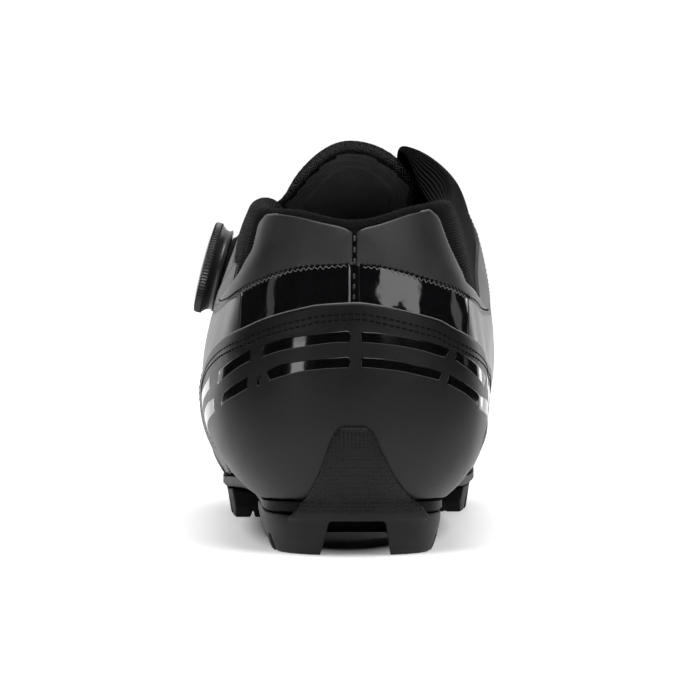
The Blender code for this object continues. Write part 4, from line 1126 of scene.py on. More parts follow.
patch("gloss_strip_lateral", gloss_l, -0.15, 0.45, M_GLOSS, "upper", edge=0.9, extra=ripple, grid=1.4)
patch("gloss_strip_medial", gloss_r, -0.15, 0.45, M_GLOSS, "upper", edge=0.9, extra=ripple, grid=1.4)
tape = outline_of([("b", 347.5, 262, 1), ("b", 360.5, 262, 1), ("b", 360.5, 307, 1), ("b", 347.5, 307, 1)])
patch("back_seam_tape", tape, -0.3, 0.35, M_GLOSS, "upper", edge=0.6, grid=1.2)

# Pale cords on the counter's top edge and on the heel panels' sides, tops and pinked edges: painted edge highlights.
tube_on_skin("counter_edge_painted_highlight", counter_top[4:-4], 0.46, 0.17, M_EDGE_PAINTED_HIGHLIGHT)
for _n, _p in (("lateral", np.concatenate([side_l[3:], top_l[1:9]])), ("medial", np.concatenate([side_r[3:], top_r[1:7]]))):
    tube_on_skin("panel_edge_painted_highlight_" + _n, _p, 0.50, 0.24, M_EDGE_PAINTED_HIGHLIGHT)
tube_on_skin("pinked_edge_painted_highlight_lateral", pinked(panel_bottom_l)[2:-2], 0.46, 0.13, M_EDGE_PAINTED_HIGHLIGHT)
tube_on_skin("pinked_edge_painted_highlight_medial", pinked(panel_bottom_r)[2:-2], 0.46, 0.13, M_EDGE_PAINTED_HIGHLIGHT)


def grown(b, d):
    """An outline let out by d."""
    t = np.roll(b, -1, 0) - np.roll(b, 1, 0)
    n = np.stack([-t[:, 1], t[:, 0]], -1)
    n /= np.maximum(np.linalg.norm(n, axis=1, keepdims=True), 1e-9)
    return b - n * d


# ------------------------------------------------------------ gloss stripes
STRIPES = {
    "stripe_1_lateral": B((349, 332.5), (335, 333), (320, 335), (300, 337), (280, 341)) + [("b", 263, 347, 1), ("b", 263, 357, 1)]
    + B((280, 351), (300, 347), (320, 344), (335, 342.3)) + [("b", 349, 342, 1)],
    "stripe_1_medial": [("b", 362, 333, 1)] + B((380, 334), (400, 337), (420, 341), (440, 347)) + [("b", 448, 350, 1), ("b", 444, 357, 1)]
    + B((436, 355), (420, 350), (400, 346), (380, 343.5)) + [("b", 362, 342, 1)],
    "stripe_1_lateral_side": [("b", 251, 351, 1)] + B((240, 357), (230, 364)) + [("b", 221, 372, 1), ("b", 219.5, 384, 1)] + B((230, 374.5), (240, 367)) + [("b", 251.5, 360.5, 1)],
    "stripe_1_medial_side": [("b", 456, 352.5, 1)] + B((465, 357.5), (475, 365.5)) + [("b", 483.5, 377, 1), ("b", 482, 386, 1)] + B((472, 373.5), (462, 365.5)) + [("b", 454, 359.5, 1)],
    "stripe_2_lateral": B((349, 358.5), (335, 359), (320, 360), (300, 362), (280, 366)) + [("b", 268, 372, 1), ("b", 271, 380, 1)]
    + B((280, 377), (300, 371.5), (320, 369), (335, 368)) + [("b", 349, 367.5, 1)],
    "stripe_2_medial": [("b", 362, 358.5, 1)] + B((380, 359.5), (400, 362), (420, 367)) + [("b", 440, 373, 1), ("b", 438, 380, 1)]
    + B((420, 375.5), (400, 371), (380, 368.5)) + [("b", 362, 367, 1)],
    "stripe_2_lateral_side": [("b", 249, 377.5, 1)] + B((238, 384)) + [("b", 225.5, 393.5, 1), ("b", 223, 405.5, 1)] + B((238, 394.5)) + [("b", 249, 388, 1)],
    "stripe_2_lateral_bar": [("b", 261, 376.5, 1), ("b", 259, 377.5, 1), ("b", 259, 386, 1), ("b", 261, 385, 1)],
    "stripe_2_medial_side": [("b", 448, 375.5, 1)] + B((457, 380), (467, 386.5)) + [("b", 478, 396, 1), ("b", 475.5, 405.5, 1)] + B((465, 394.5), (456, 389)) + [("b", 446, 383.5, 1)],
    # forward dashes on the two sides
    "stripe_1_lateral_front": [("l", 39, 53.0, 1)] + Ls((58, 48.4), (80, 42.4)) + [("l", 100, 36.8, 1), ("l", 103, 33.6, 1)] + Ls((80, 38.4), (58, 44.6)) + [("l", 38, 49.6, 1)],
    "stripe_2_lateral_front": [("l", 31, 46.6, 1)] + Ls((50, 42.2), (70, 36.6)) + [("l", 86, 32.0, 1), ("l", 89, 28.6, 1)] + Ls((70, 32.8), (50, 38.2)) + [("l", 30, 43.0, 1)],
    "stripe_1_medial_front": [("m", 34, 53.8, 1)] + Ms((55, 49.6), (78, 44.0)) + [("m", 100, 37.4, 1), ("m", 103, 34.2, 1)] + Ms((78, 40.2), (55, 45.8)) + [("m", 34, 50.2, 1)],
    "stripe_2_medial_front": [("m", 21, 48.0, 1)] + Ms((40, 43.8), (60, 38.4)) + [("m", 84, 31.4, 1), ("m", 87, 28.2, 1)] + Ms((60, 34.8), (40, 40.4)) + [("m", 21, 44.2, 1)],
    "stripe_1_lateral_end": [("l", 108, 34.6, 1)] + Ls((120, 30.2)) + [("l", 134, 24.6, 1), ("l", 135, 21.4, 1)] + Ls((120, 26.6)) + [("l", 110, 30.8, 1)],
    "stripe_1_medial_end": [("m", 108, 35.2, 1)] + Ms((120, 31.0)) + [("m", 134, 25.4, 1), ("m", 135, 22.0, 1)] + Ms((120, 27.4)) + [("m", 110, 31.4, 1)],
}
for _name, _specs in STRIPES.items():
    patch(_name, grown(outline_of(_specs, step=0.7), 0.22), 0.645, 0.02, M_STRIPE, "upper", edge=0.10, sunk=0.05, grid=1.1,
          cover=False, flat=True)

# ------------------------------------------------------------------ quarters
EDGE_V = 0.975
TH = lambda *ss: [("c", s, EDGE_V) for s in ss]
LAT_REAR = [(92, 103.6), (84, 100.2), (70, 95.6), (54, 90.6), (42, 85.4), (34, 79.6)]
quarter_l = outline_of([("c", 0.2255, EDGE_V, 1)] + Ls(*LAT_REAR) + [("l", 26, 72, 1)]
                       + Ls((36, 61), (57, 55.5), (85, 46.5), (105, 40), (130, 31)) + [("l", 158, 20, 1)]
                       + Ls((168, 32), (172, 46), (168, 60), (160, 74)) + [("c", 0.312, EDGE_V, 1)]
                       + TH(0.30, 0.28, 0.26, 0.24))
patch("quarter_lateral", quarter_l, -0.05, 0.5, M_QUARTER, "upper", edge=0.6, grid=2.0)
MED_REAR = [(111, 110.5), (104, 104.5), (95, 97.5), (84, 92.0), (73, 86.0), (63, 78.6)]
quarter_m = outline_of([("c", -0.240, EDGE_V, 1)] + Ms(*MED_REAR) + [("m", 40, 73.5, 1)]
                       + Ms((36, 62), (57, 55.5), (85, 48.5), (105, 43.5), (130, 33)) + [("m", 158, 20, 1)]
                       + Ms((168, 32), (172, 46), (168, 60), (160, 74)) + [("c", -0.312, EDGE_V, 1)]
                       + TH(-0.30, -0.28, -0.26))
patch("quarter_medial", quarter_m, -0.05, 0.5, M_QUARTER, "upper", edge=0.6, grid=2.0)
tab_l = outline_of([("b", 246, 291, 1)] + B((232, 300)) + Ls((47, 74.4), (72, 73.2), (86, 74.0), (90.5, 76.6), (86, 79.4), (76, 81.4), (62, 84.6), (46, 88.2))
                   + [("l", 36.5, 88.4, 1), ("l", 33, 80, 1)])
patch("tab_lateral", tab_l, 0.25, 0.42, M_QUARTER, "upper", edge=0.5, grid=1.8)
tab_m = outline_of([("b", 470, 300, 1)] + Ms((40, 74.0), (60, 72.0), (80, 71.8), (90, 73.6), (98.5, 78.6), (103, 86), (103, 95))
                   + [("m", 100, 100.4, 1)] + Ms((91, 95.0), (81, 90.4), (71, 84.6)) + [("m", 62, 77.6, 1)])
patch("tab_medial", tab_m, 0.25, 0.42, M_QUARTER, "upper", edge=0.5, grid=1.8)
band_l = outline_of([("b", 243, 293, 1)] + Ls((33, 76.8), (47, 73.8), (70, 72.6), (90, 72.4), (110, 68.6), (126, 61.5), (136, 51))
                    + [("l", 141, 35, 1)] + Ls((130, 31.5), (105, 40.5), (85, 47), (57, 56), (36, 61.5)) + [("b", 241, 334, 1)])
patch("side_band_lateral", band_l, 0.10, 0.42, M_SATIN, "upper", edge=0.5, grid=1.8)
band_m = outline_of([("b", 466, 296, 1)] + Ms((37, 75.4), (60, 72.6), (90, 71.8), (110, 68), (126, 60.5), (136, 50))
                    + [("m", 141, 34, 1)] + Ms((130, 33.5), (105, 43.5), (85, 50), (57, 56), (30, 60.5)) + [("b", 466, 342, 1)])
patch("side_band_medial", band_m, 0.10, 0.42, M_SATIN, "upper", edge=0.5, grid=1.8)

# ---------------------------------------------------------------- vamp and toe
vamp = outline_of([("c", 0.300, EDGE_V, 1)] + TH(*np.linspace(0.33, 0.67, 12)) + [("c", 0.700, EDGE_V, 1), ("c", 0.705, 0.6),
                  ("c", 0.705, 0.25), ("c", 0.705, 0.006, 1)]
                  + [("c", s, 0.006) for s in np.linspace(0.69, 0.31, 40)]
                  + [("c", 0.295, 0.006, 1), ("c", 0.295, 0.25), ("c", 0.295, 0.6)], toe=True, step=1.6)


def vamp_creases(q, d):
    """Soft bend lines across the ball, at given places."""
    p = upper_point(q[:, 0] / L_S, q[:, 1] / L_V)
    out = np.zeros(len(q))
    for y0, bow, w, deep in ((196, -10, 3.4, 0.45), (206, -11, 2.8, 0.40), (217, -12, 3.2, 0.30)):
        yy = y0 + bow * (p[:, 0] / 40.0) ** 2
        k = np.clip((p[:, 2] - 34) / 20, 0, 1)
        out += k * (-deep * np.exp(-((p[:, 1] - yy) / w) ** 2) + 0.5 * deep * np.exp(-((p[:, 1] - yy - 1.9 * w) / w) ** 2))
    return out


patch("vamp", vamp, -0.15, 0.32, M_VAMP, "upper", edge=0.5, grid=2.4, extra=vamp_creases)
rand_top = [(0.345, 0.03), (0.375, 0.13), (0.405, 0.24), (0.435, 0.34), (0.465, 0.42), (0.4985, 0.455), (0.53, 0.42),
            (0.56, 0.34), (0.592, 0.24), (0.625, 0.13), (0.655, 0.03)]
rand = outline_of([("c", s, v) for s, v in rand_top] + [("c", 0.656, 0.006, 1)]
                  + [("c", s, 0.006) for s in np.linspace(0.645, 0.355, 36)] + [("c", 0.344, 0.006, 1)], toe=True)
patch("toe_rand", rand, 0.0, 0.85, M_CUP, "upper", edge=0.9, grid=2.0)
_lo = [("c", s, v) for s, v in ((0.2375, 0.905), (0.26, 0.885), (0.30, 0.895), (0.35, 0.905), (0.40, 0.905), (0.45, 0.90),
                                (0.4985, 0.885), (0.545, 0.90), (0.60, 0.905), (0.65, 0.905), (0.70, 0.895), (0.735, 0.885), (0.752, 0.90))]
eyestay = outline_of([("c", 0.2360, 0.972, 1)] + _lo + [("c", 0.7560, 0.972, 1)]
                     + [("c", s, 0.972) for s in np.linspace(0.745, 0.245, 26)], toe=True)
patch("eyestay", eyestay, 0.35, 0.45, M_CUP, "upper", edge=0.5, grid=1.8)

# -------------------------------------------------------------------- stitches
# Near-black dashes a little longer and wider than each stitch, under the thread: painted shade of the stitch grooves.
rows_cup = [shifted(counter_top, 3.5), shifted(counter_top, 5.3)]
stitches("stitch_groove_painted_shade_counter", [r[6:-6] for r in rows_cup], 0.585, pitch=2.05, length=1.75, radius=0.30, mat=M_PAINTED_HOLE_SHADE, dip=0.10)
stitches("stitches_counter", [r[6:-6] for r in rows_cup], 0.66, pitch=2.05, length=1.30, radius=0.20)
EDGE_ROWS = [run(B((350, 263.8), (320, 265.4), (300, 267.4), (280, 272.4), (264, 278.4), (250, 285.2), (240, 291.2), (231, 298)) + Ls((47, 76.4), (56, 76.7))),
          run(B((359, 264.6), (375, 265.5), (400, 271), (420, 277), (440, 283.2), (455, 289.2), (467, 297.2)) + Ms((38, 75.8), (60, 73.9), (78, 73.4)))]
# Near-black dashes under the panel's edge stitches: painted shade of the stitch grooves.
stitches("stitch_groove_painted_shade_panel_edge", EDGE_ROWS, 0.80, pitch=1.75, length=1.5, radius=0.30, mat=M_PAINTED_HOLE_SHADE, dip=0.10)
stitches("stitches_panel_edge", EDGE_ROWS, 0.90, pitch=1.75, length=1.15, radius=0.17)
seam_pts = run([("b", 354.5, 233), ("b", 354.5, 250), ("b", 354.5, 267)])
seam_low = run([("b", 354.0, 271), ("b", 354.0, 287), ("b", 354.0, 302)])
stitches("stitches_back_seam", [seam_pts], 0.62, pitch=3.1, length=2.3, radius=0.50, dip=0.4)
stitches("stitches_tape", [seam_low], 0.12, pitch=3.1, length=2.1, radius=0.36, dip=0.4)
# A pale cord along the back tape's left edge: a painted highlight.
tube_on_skin("tape_edge_painted_highlight", run([("b", 349.6, 267), ("b", 349.6, 285), ("b", 349.6, 304)]), 0.34, 0.30, M_EDGE_PAINTED_HIGHLIGHT)
stitches("stitches_tabs",
         [run(B((240, 297)) + Ls((46, 76.0), (70, 74.9), (84, 75.4), (88.2, 77.0), (84, 78.6), (75, 80.2), (60, 83.4), (46, 86.6), (38, 88.4))),
          run(B((472, 300.5)) + Ms((41, 75.2), (60, 73.4), (80, 73.2), (89, 74.8), (96.8, 79.4), (101.2, 86), (101, 94.4), (98.6, 98.4)))],
         0.70, pitch=1.8, length=1.2, radius=0.17)
stitches("stitches_quarters",
         [run(Ls((90, 101.6), (84, 98.8), (70, 94.2), (54, 89.2), (43, 84.4))),
          run(Ms((109, 108.4), (102.4, 102.6), (94, 95.8), (84, 90.2))),
          run(Ls((126, 59.6), (110, 66.8), (92, 70.9))), run(Ms((126, 58.6), (110, 66.0), (92, 70.2))),
          run(Ls((159.5, 24), (166.3, 34), (169.8, 46), (166, 59), (158, 72.5))),
          run(Ms((159.5, 24), (166.3, 34), (169.8, 46), (166, 59), (158, 72.5)))],
         0.46, pitch=2.1, length=1.4, radius=0.18)
stitches("stitches_eyestay",
         [run([("c", 0.240, 0.918)] + [("c", s, v + 0.012) for _, s, v in _lo[1:-1]] + [("c", 0.749, 0.914)], toe=True),
          run([("c", s, 0.958) for s in np.linspace(0.245, 0.745, 26)], toe=True)],
         0.80, pitch=2.1, length=1.4, radius=0.18)
stitches("stitches_rand", [run([("c", s, v - 0.022) for s, v in rand_top[1:-1]], toe=True)], 0.86,
         pitch=2.1, length=1.4, radius=0.18)


def dots(name, places, lift, radius, mat, slot="upper", sides=10):
    """Small punched holes: near-black cups whose rims lie just under the surface, painted shade for the insides of the
    holes.
    """
    verts, faces = [], []
    for s, v in places:
        c = skin(s, v, lift)
        n = upper_normal(np.float64(s), np.float64(v))
        a = np.cross(n, [0, 0, 1.0])
        a /= np.linalg.norm(a)
        b = np.cross(n, a)
        o = len(verts)
        for k in range(sides):
            w = 2 * math.pi * k / sides
            verts.append(c + (a * math.cos(w) + b * math.sin(w)) * radius * 1e-3)
        verts.append(c + n * 0.10e-3)
        faces += [(o + k, o + (k + 1) % sides, o + sides) for k in range(sides)]
    return ride(mesh_object(name, np.array(verts), faces, mat), slot)


holes = []
for k, (v0, n, a, b) in enumerate(((0.80, 22, 0.405, 0.592), (0.75, 26, 0.398, 0.600), (0.70, 24, 0.402, 0.596),
                                   (0.65, 20, 0.412, 0.586), (0.60, 16, 0.424, 0.572))):
    for i in range(n):
        s = a + (b - a) * (i + 0.5 * (k % 2)) / (n - 0.5)
        holes.append((s, v0 - 0.02 * math.cos(math.pi * (i / n - 0.5))))
dots("vamp_perforations", holes, 0.19, 0.62, M_PAINTED_HOLE_SHADE)
side_holes = [(s, v) for side in (1, -1) for k in range(3) for i, s in enumerate(
    [side * (0.315 + 0.011 * j) for j in range(7 - k)]) for v in [0.50 + 0.035 * k + 0.004 * i]]
dots("side_perforations", side_holes, 0.19, 0.55, M_PAINTED_HOLE_SHADE)

# ----------------------------------------------------------------- base shell
NS = 400


def cover_depth(q):
    """Signed depth under the overlays: positive when covered, negative outside."""
    best = np.full(len(q), -1e9)
    for b in COVER:
        lo, hi = b.min(0) - 12, b.max(0) + 12
        for turn in (0.0, L_S, -L_S):
            p = q + np.array([turn, 0.0])
            m = (p[:, 0] > lo[0]) & (p[:, 0] < hi[0]) & (p[:, 1] > lo[1]) & (p[:, 1] < hi[1])
            if m.any():
                best[m] = np.maximum(best[m], signed(p[m], b))
    return best


def shell_height(s, v):
    shape = s.shape
    ss = np.where(s > 0.5, s - 1.0, s)
    q = np.stack([ss.ravel() * L_S, v.ravel() * L_V], -1)
    d = cover_depth(q).reshape(shape)
    out = np.clip(-d, 0, 12)
    puff = 1 - np.exp(-out / 1.9)
    share = collar_share(s)
    amp = 0.15 + np.where(ss > 0.08, 0.85, 1.25) * share
    heel = np.exp(-(np.minimum(np.abs(ss), 0.08) / 0.055) ** 4)
    amp = amp * (1 - 0.35 * heel)
    amp = amp + share * (2.5 * np.clip((-ss - 0.160) / 0.03, 0, 1) * np.clip((v - 0.80) / 0.12, 0, 1) - 1.1 * np.clip((-ss - 0.07) / 0.03, 0, 1))
    h = -0.42 + puff * (0.42 + amp)
    roll = np.clip((v - 0.5) / 0.1, 0, 1)
    return np.where(out > 0.01, -0.42 + (h + 0.42) * roll, -0.42)


s_cols = np.linspace(0.5, 1.5, NS + 1)[:-1]
v_out = np.concatenate([np.linspace(0.0, 0.60, 30)[:-1], np.linspace(0.60, 1.0, 84)])
S_, V_ = np.meshgrid(s_cols % 1.0, v_out)
H_ = shell_height(S_, V_)
outer = upper_point(S_, V_) + upper_normal(S_, V_) * H_[..., None]
v_in = np.linspace(1.0, 0.0, 60)
Si, Vi = np.meshgrid(s_cols % 1.0, v_in)
inner = upper_inner(Si, Vi)
top_o, top_i = outer[-1], inner[0]
up = upper_point(s_cols, 1.0) - upper_point(s_cols, 0.985)
up /= np.linalg.norm(up, axis=1, keepdims=True)
t_rim = wall(s_cols, 1.0)[:, None]
rim = []
for a in np.linspace(0, math.pi, 11)[1:-1]:
    k = (1 - math.cos(a)) / 2
    rim.append(top_o + (top_i - top_o) * k + up * t_rim * 0.36 * math.sin(a) ** 0.9)
rim = np.array(rim)


def shell_piece(name, rows, vs, mats, mat_of, slot):
    """Rows of the ring grid from one v to the next, as one sheet with its own UV."""
    n = len(rows)
    verts = grade(np.array(rows)).reshape(-1, 3)
    i, j = np.meshgrid(np.arange(n - 1), np.arange(NS), indexing="ij")
    k = (j + 1) % NS
    faces = np.stack([i * NS + j, (i + 1) * NS + j, (i + 1) * NS + k, i * NS + k], -1).reshape(-1, 4)
    su = np.concatenate([s_cols, [1.5]])
    uv = np.stack([np.stack([su[j] * L_S, vs[i]], -1), np.stack([su[j] * L_S, vs[i + 1]], -1),
                   np.stack([su[j + 1] * L_S, vs[i + 1]], -1), np.stack([su[j + 1] * L_S, vs[i]], -1)], -2)
    mid_s = (0.5 * (su[j] + su[j + 1])).ravel()
    mid_w = (0.5 * (vs[i] + vs[i + 1])).ravel()
    fm = mat_of(mid_s % 1.0, mid_w)
    return ride(mesh_object(name, verts, faces, mats, uv=uv.reshape(-1, 2), face_mat=fm), slot, "upper")


all_rows = list(outer) + list(rim) + list(inner[1:])
w_rim = L_V + np.arange(1, len(rim) + 1) * 1.0
w_all = np.concatenate([v_out * L_V, w_rim, w_rim[-1] + 1.0 + (1 - v_in[1:]) * L_V])
W_IN = w_rim[-1] + 1.0


def mat_of(s, w):
    ss = np.where(s > 0.5, s - 1, s)
    knit_zone = (np.abs(ss) < 0.255) & (w > 0.58 * L_V)
    herring = knit_zone & (ss < 0.0705) & (ss > -0.0585)
    inside_w = w > W_IN + 0.5
    band = inside_w & (w < W_IN + 9.0)
    out = np.where(knit_zone, 1, 0)
    out = np.where(herring, 2, out)
    out = np.where(inside_w, 3, out)
    out = np.where(band & (np.abs(ss) < 0.255), np.where(herring, 2, 1), out)
    return out


MATS = [M_BODY, M_KNIT, M_HERRING, M_LINING]
i_split = 29                        # the row at v = 0.60
j_split = len(outer) + len(rim) + 24
body_out = shell_piece("upper_body", all_rows[:i_split + 2], w_all[:i_split + 2], MATS, mat_of, "upper")
collar = shell_piece("collar_pad", all_rows[i_split:j_split + 1], w_all[i_split:j_split + 1], MATS, mat_of, "textile")
lining = shell_piece("upper_lining", all_rows[j_split - 1:], w_all[j_split - 1:], MATS, mat_of, "textile")

# -------------------------------------------------------------------- tongue
NU, NT = 97, 150


def tongue_shape(u, t):
    """The tongue's face, with room for u a little past the edge."""
    y = TONGUE_FROM + (TONGUE_TO - TONGUE_FROM) * t
    x = line(TONGUE_HALF, y) * u
    y = y + 4.0 * np.minimum(u * u, 1.0) * np.clip(1 - t / 0.2, 0, 1) ** 2
    z = tongue_top(x, y) + 0.7 * np.exp(-(t / 0.05) ** 2)
    z = z + np.clip(x, 0, 22) ** 2 * 0.0065 * np.clip((114 - y) / 8, 0, 1)
    return np.stack([x, y, z], -1)


def tongue_out(u, t):
    e = 1e-3
    du = tongue_shape(u + e, t) - tongue_shape(u - e, t)
    dt = tongue_shape(u, np.minimum(t + e, 1)) - tongue_shape(u, np.maximum(t - e, 0))
    n = np.cross(du, dt)
    return n / np.linalg.norm(n, axis=-1, keepdims=True)


def tongue_mesh():
    u1 = np.linspace(-1, 1, NU)
    t1 = np.linspace(0, 1, NT) ** 1.15
    T, U = np.meshgrid(t1, u1, indexing="ij")
    U = U * (1 + np.where(U < 0, 0.15, 0.04) * np.exp(-(T / 0.10) ** 2))
    face, nrm = tongue_shape(U, T), tongue_out(U, T)
    edge = np.concatenate([tongue_shape(-1 - 0.15 * np.exp(-(np.linspace(1, 0, 200) / 0.10) ** 2), np.linspace(1, 0, 200)),
                           tongue_shape(np.linspace(-1.15, 1.04, 120), np.zeros(120)),
                           tongue_shape(1 + 0.04 * np.exp(-(np.linspace(0, 1, 200) / 0.10) ** 2), np.linspace(0, 1, 200))])
    P = face.reshape(-1, 3)
    d = np.empty(len(P))
    for k in range(0, len(P), 3000):
        d[k:k + 3000] = np.sqrt(((P[k:k + 3000, None] - edge[None]) ** 2).sum(-1)).min(1)
    d = d.reshape(face.shape[:2])
    thick = (4.6 - 2.2 * T) * (1 - 0.5 * np.abs(U) ** 4)
    round_edge = np.sqrt(np.clip(1 - (1 - np.clip(d / 2.0, 0, 1)) ** 2, 0.02, 1))
    half = thick / 2
    mid = face - nrm * half[..., None]
    puff = 0.35 * (1 - np.exp(-d / 8.0))
    groove = sum(-g * np.exp(-((d - c) / 0.42) ** 2) for c, g in ((3.0, 0.55), (4.5, 0.42), (6.0, 0.40), (7.5, 0.34)))
    corner = np.exp(-((np.abs(U) - 1.05) / 0.16) ** 2) * np.exp(-(T / 0.03) ** 2)
    mid = mid + nrm * (-1.2 * corner * (U < 0))[..., None]
    upper_face = mid + nrm * ((half + puff * 0.4) * round_edge + 0.35 * groove)[..., None]
    lower_face = mid - nrm * ((half + puff) * round_edge + groove)[..., None]
    verts = np.concatenate([upper_face.reshape(-1, 3), lower_face.reshape(-1, 3)])
    off = NU * NT
    faces, uv = [], []
    W = np.concatenate([[0], np.cumsum(np.linalg.norm(np.diff(face[:, NU // 2], axis=0), axis=1))])
    fm = []
    for i in range(NT - 1):
        for j in range(NU - 1):
            a, b, c, e = i * NU + j, (i + 1) * NU + j, (i + 1) * NU + j + 1, i * NU + j + 1
            dd = d[i, j]
            faces.append((a, b, c, e))
            fm.append(0 if dd < 3.0 else 1)
            faces.append((off + e, off + c, off + b, off + a))
            fm.append(0 if dd < 3.0 else 2)
    for i in range(NT - 1):
        for j in (0, NU - 1):
            a, b = i * NU + j, (i + 1) * NU + j
            faces.append((a, off + a, off + b, b) if j == 0 else (b, off + b, off + a, a))
            fm.append(0)
    for j in range(NU - 1):
        for i in (0, NT - 1):
            a, b = i * NU + j, i * NU + j + 1
            faces.append((b, off + b, off + a, a) if i == 0 else (a, off + a, off + b, b))
            fm.append(0)
    # rows run along the rim: W counts from the edge near it, along the tongue elsewhere
    rimu = np.arctan2(face[..., 0], 20.0 - (face[..., 1] - 105.0)) * 24
    uvv = np.stack([np.where(d < 3.2, rimu, face[..., 0]), np.where(d < 3.2, d, W[:, None] + 0 * d)], -1).reshape(-1, 2)
    uv = np.concatenate([uvv, uvv + np.array([200.0, 0])])
    # the tongue's underside takes the pale lining: painted light
    ob = mesh_object("tongue_pad", grade(verts), faces, [M_RIM, M_RIM, M_LINING_PAINTED_LIGHT], uv=uv, face_mat=fm)
    ride(ob, "textile", "tongue")
    return ob


tongue = tongue_mesh()


# ------------------------------------------------------- insole and sole plate
def ring_body(name, rings, mat, bevel=0.0):
    rings = np.asarray(rings, float)
    n, k = rings.shape[:2]
    verts = grade(rings).reshape(-1, 3)
    faces = ring_faces(n, k) + [tuple(range(k))[::-1], tuple(range((n - 1) * k, n * k))]
    ob = mesh_object(name, verts, faces, mat)
    bm = bmesh.new()
    bm.from_mesh(ob.data)
    bmesh.ops.recalc_face_normals(bm, faces=bm.faces)
    if bm.calc_volume(signed=True) < 0:
        bmesh.ops.reverse_faces(bm, faces=bm.faces)
    bm.to_mesh(ob.data)
    bm.free()
    ob.data.shade_smooth()
    return ob


def apply_modifiers(ob):
    dg = bpy.context.evaluated_depsgraph_get()
    me = bpy.data.meshes.new_from_object(ob.evaluated_get(dg))
    old = ob.data
    ob.modifiers.clear()
    ob.data = me
    bpy.data.meshes.remove(old)
    return ob


def cut(ob, tool, how="DIFFERENCE"):
    m = ob.modifiers.new("cut", "BOOLEAN")
    m.operation, m.object, m.solver = how, tool, "EXACT"
    apply_modifiers(ob)
    bpy.data.objects.remove(tool, do_unlink=True)
    return ob


def remeshed(ob, voxel_mm, rounds=3, factor=0.5):
    m = ob.modifiers.new("voxels", "REMESH")
    m.mode, m.voxel_size, m.use_smooth_shade = "VOXEL", voxel_mm * 1e-3, True
    k = ob.modifiers.new("soft", "SMOOTH")
    k.iterations, k.factor = rounds, factor
    apply_modifiers(ob)
    ob.data.shade_smooth()
    return ob


def insole_piece():
    s = np.arange(1440) / 1440
    rim = upper_inner(s, np.zeros_like(s))[:, :2]
    t = np.roll(rim, -1, 0) - np.roll(rim, 1, 0)
    n = np.stack([-t[:, 1], t[:, 0]], -1)
    n /= np.linalg.norm(n, axis=1, keepdims=True)
    if ((rim - np.array([0.0, 140.0])) * n).sum() < 0:
        n = -n
    plat, pmed = outline(0.0)
    rings = []
    # rings from the outside in, at the top and at the bottom, on one centre line
    outer = rim - n * 1.5
    keep = (outer[:, 1] > 5)
    y0, y1 = outer[:, 1].min(), outer[:, 1].max()
    i0, i1 = np.argmin(outer[:, 1]), np.argmax(outer[:, 1])
    a, b = (outer[i0:i1 + 1], np.concatenate([outer[i1:], outer[:i0 + 1]])) if i0 < i1 else (
        np.concatenate([outer[i0:], outer[:i1 + 1]]), outer[i1:i0 + 1])
    lat, med = (a, b) if a[:, 0].mean() < b[:, 0].mean() else (b, a)
    lat, med = lat[np.argsort(lat[:, 1])], med[np.argsort(med[:, 1])]
    ys, xls, xms = rows_along(lat, med, 110, 3.0)
    for y, xl, xm in zip(ys, xls, xms):
        pl = float(np.interp(y, plat[:, 1], plat[:, 0]))
        pm = float(np.interp(y, pmed[:, 1], pmed[:, 0]))
        x = xl + (xm - xl) * (1 - np.cos(np.radians(np.linspace(0, 180, 25)))) / 2
        low = np.array([float(plate_top(k, y, pl, pm)) for k in x]) + 0.6
        e = np.minimum(x - xl, xm - x)
        ends = min(y - y0, y1 - y)
        e = np.minimum(e, ends + 0.4)
        r = np.sqrt(np.clip(1 - (1 - np.clip(e / 1.6, 0, 1)) ** 2, 0.0, 1))
        cup = 0.25 * np.exp(-e / 6.0)
        top = low + (INSOLE_THICK - 0.35) * (0.25 + 0.75 * r) + cup
        rings.append([(p, y, q) for p, q in zip(x, low)] + [(p, y, q) for p, q in zip(x[::-1], top[::-1])])
    ob = ring_body("footbed", rings, M_INSOLE)
    co = np.empty(len(ob.data.vertices) * 3)
    ob.data.vertices.foreach_get("co", co)
    co = co.reshape(-1, 3)
    idx = np.zeros(len(ob.data.loops), np.int32)
    ob.data.loops.foreach_get("vertex_index", idx)
    lay = ob.data.uv_layers.new(name="chart")
    lay.data.foreach_set("uv", (co[idx, :2] * 1000).astype(np.float32).ravel())
    return ride(ob, "footbed", "insole")


M_INSOLE = woven("footbed_fabric", (0.020, 0.020, 0.0215), 1.3, 0.10)
insole_piece()

lat_, med_ = outline(0.0)
ys_, xls_, xms_ = rows_along(lat_, med_, 150, 3.0)


def fine_ring(y, xl, xm):
    """plate_ring with its corners rounded and more columns."""
    r = np.array(plate_ring(y, xl, xm))
    k = 9
    top = r[:k]
    xs = np.linspace(top[0, 0], top[-1, 0], 25)
    tz = np.array([float(plate_top(x, y, xl, xm)) for x in xs])
    tz[0] -= 0.5
    tz[-1] -= 0.5
    out = [(x, y, z) for x, z in zip(xs, tz)]
    low = r[k:]
    dense = [tuple(low[0])]
    for a, b in zip(low[:-1], low[1:]):
        for t in (0.34, 0.67, 1.0):
            dense.append(tuple(a + (b - a) * t))
    return out + dense


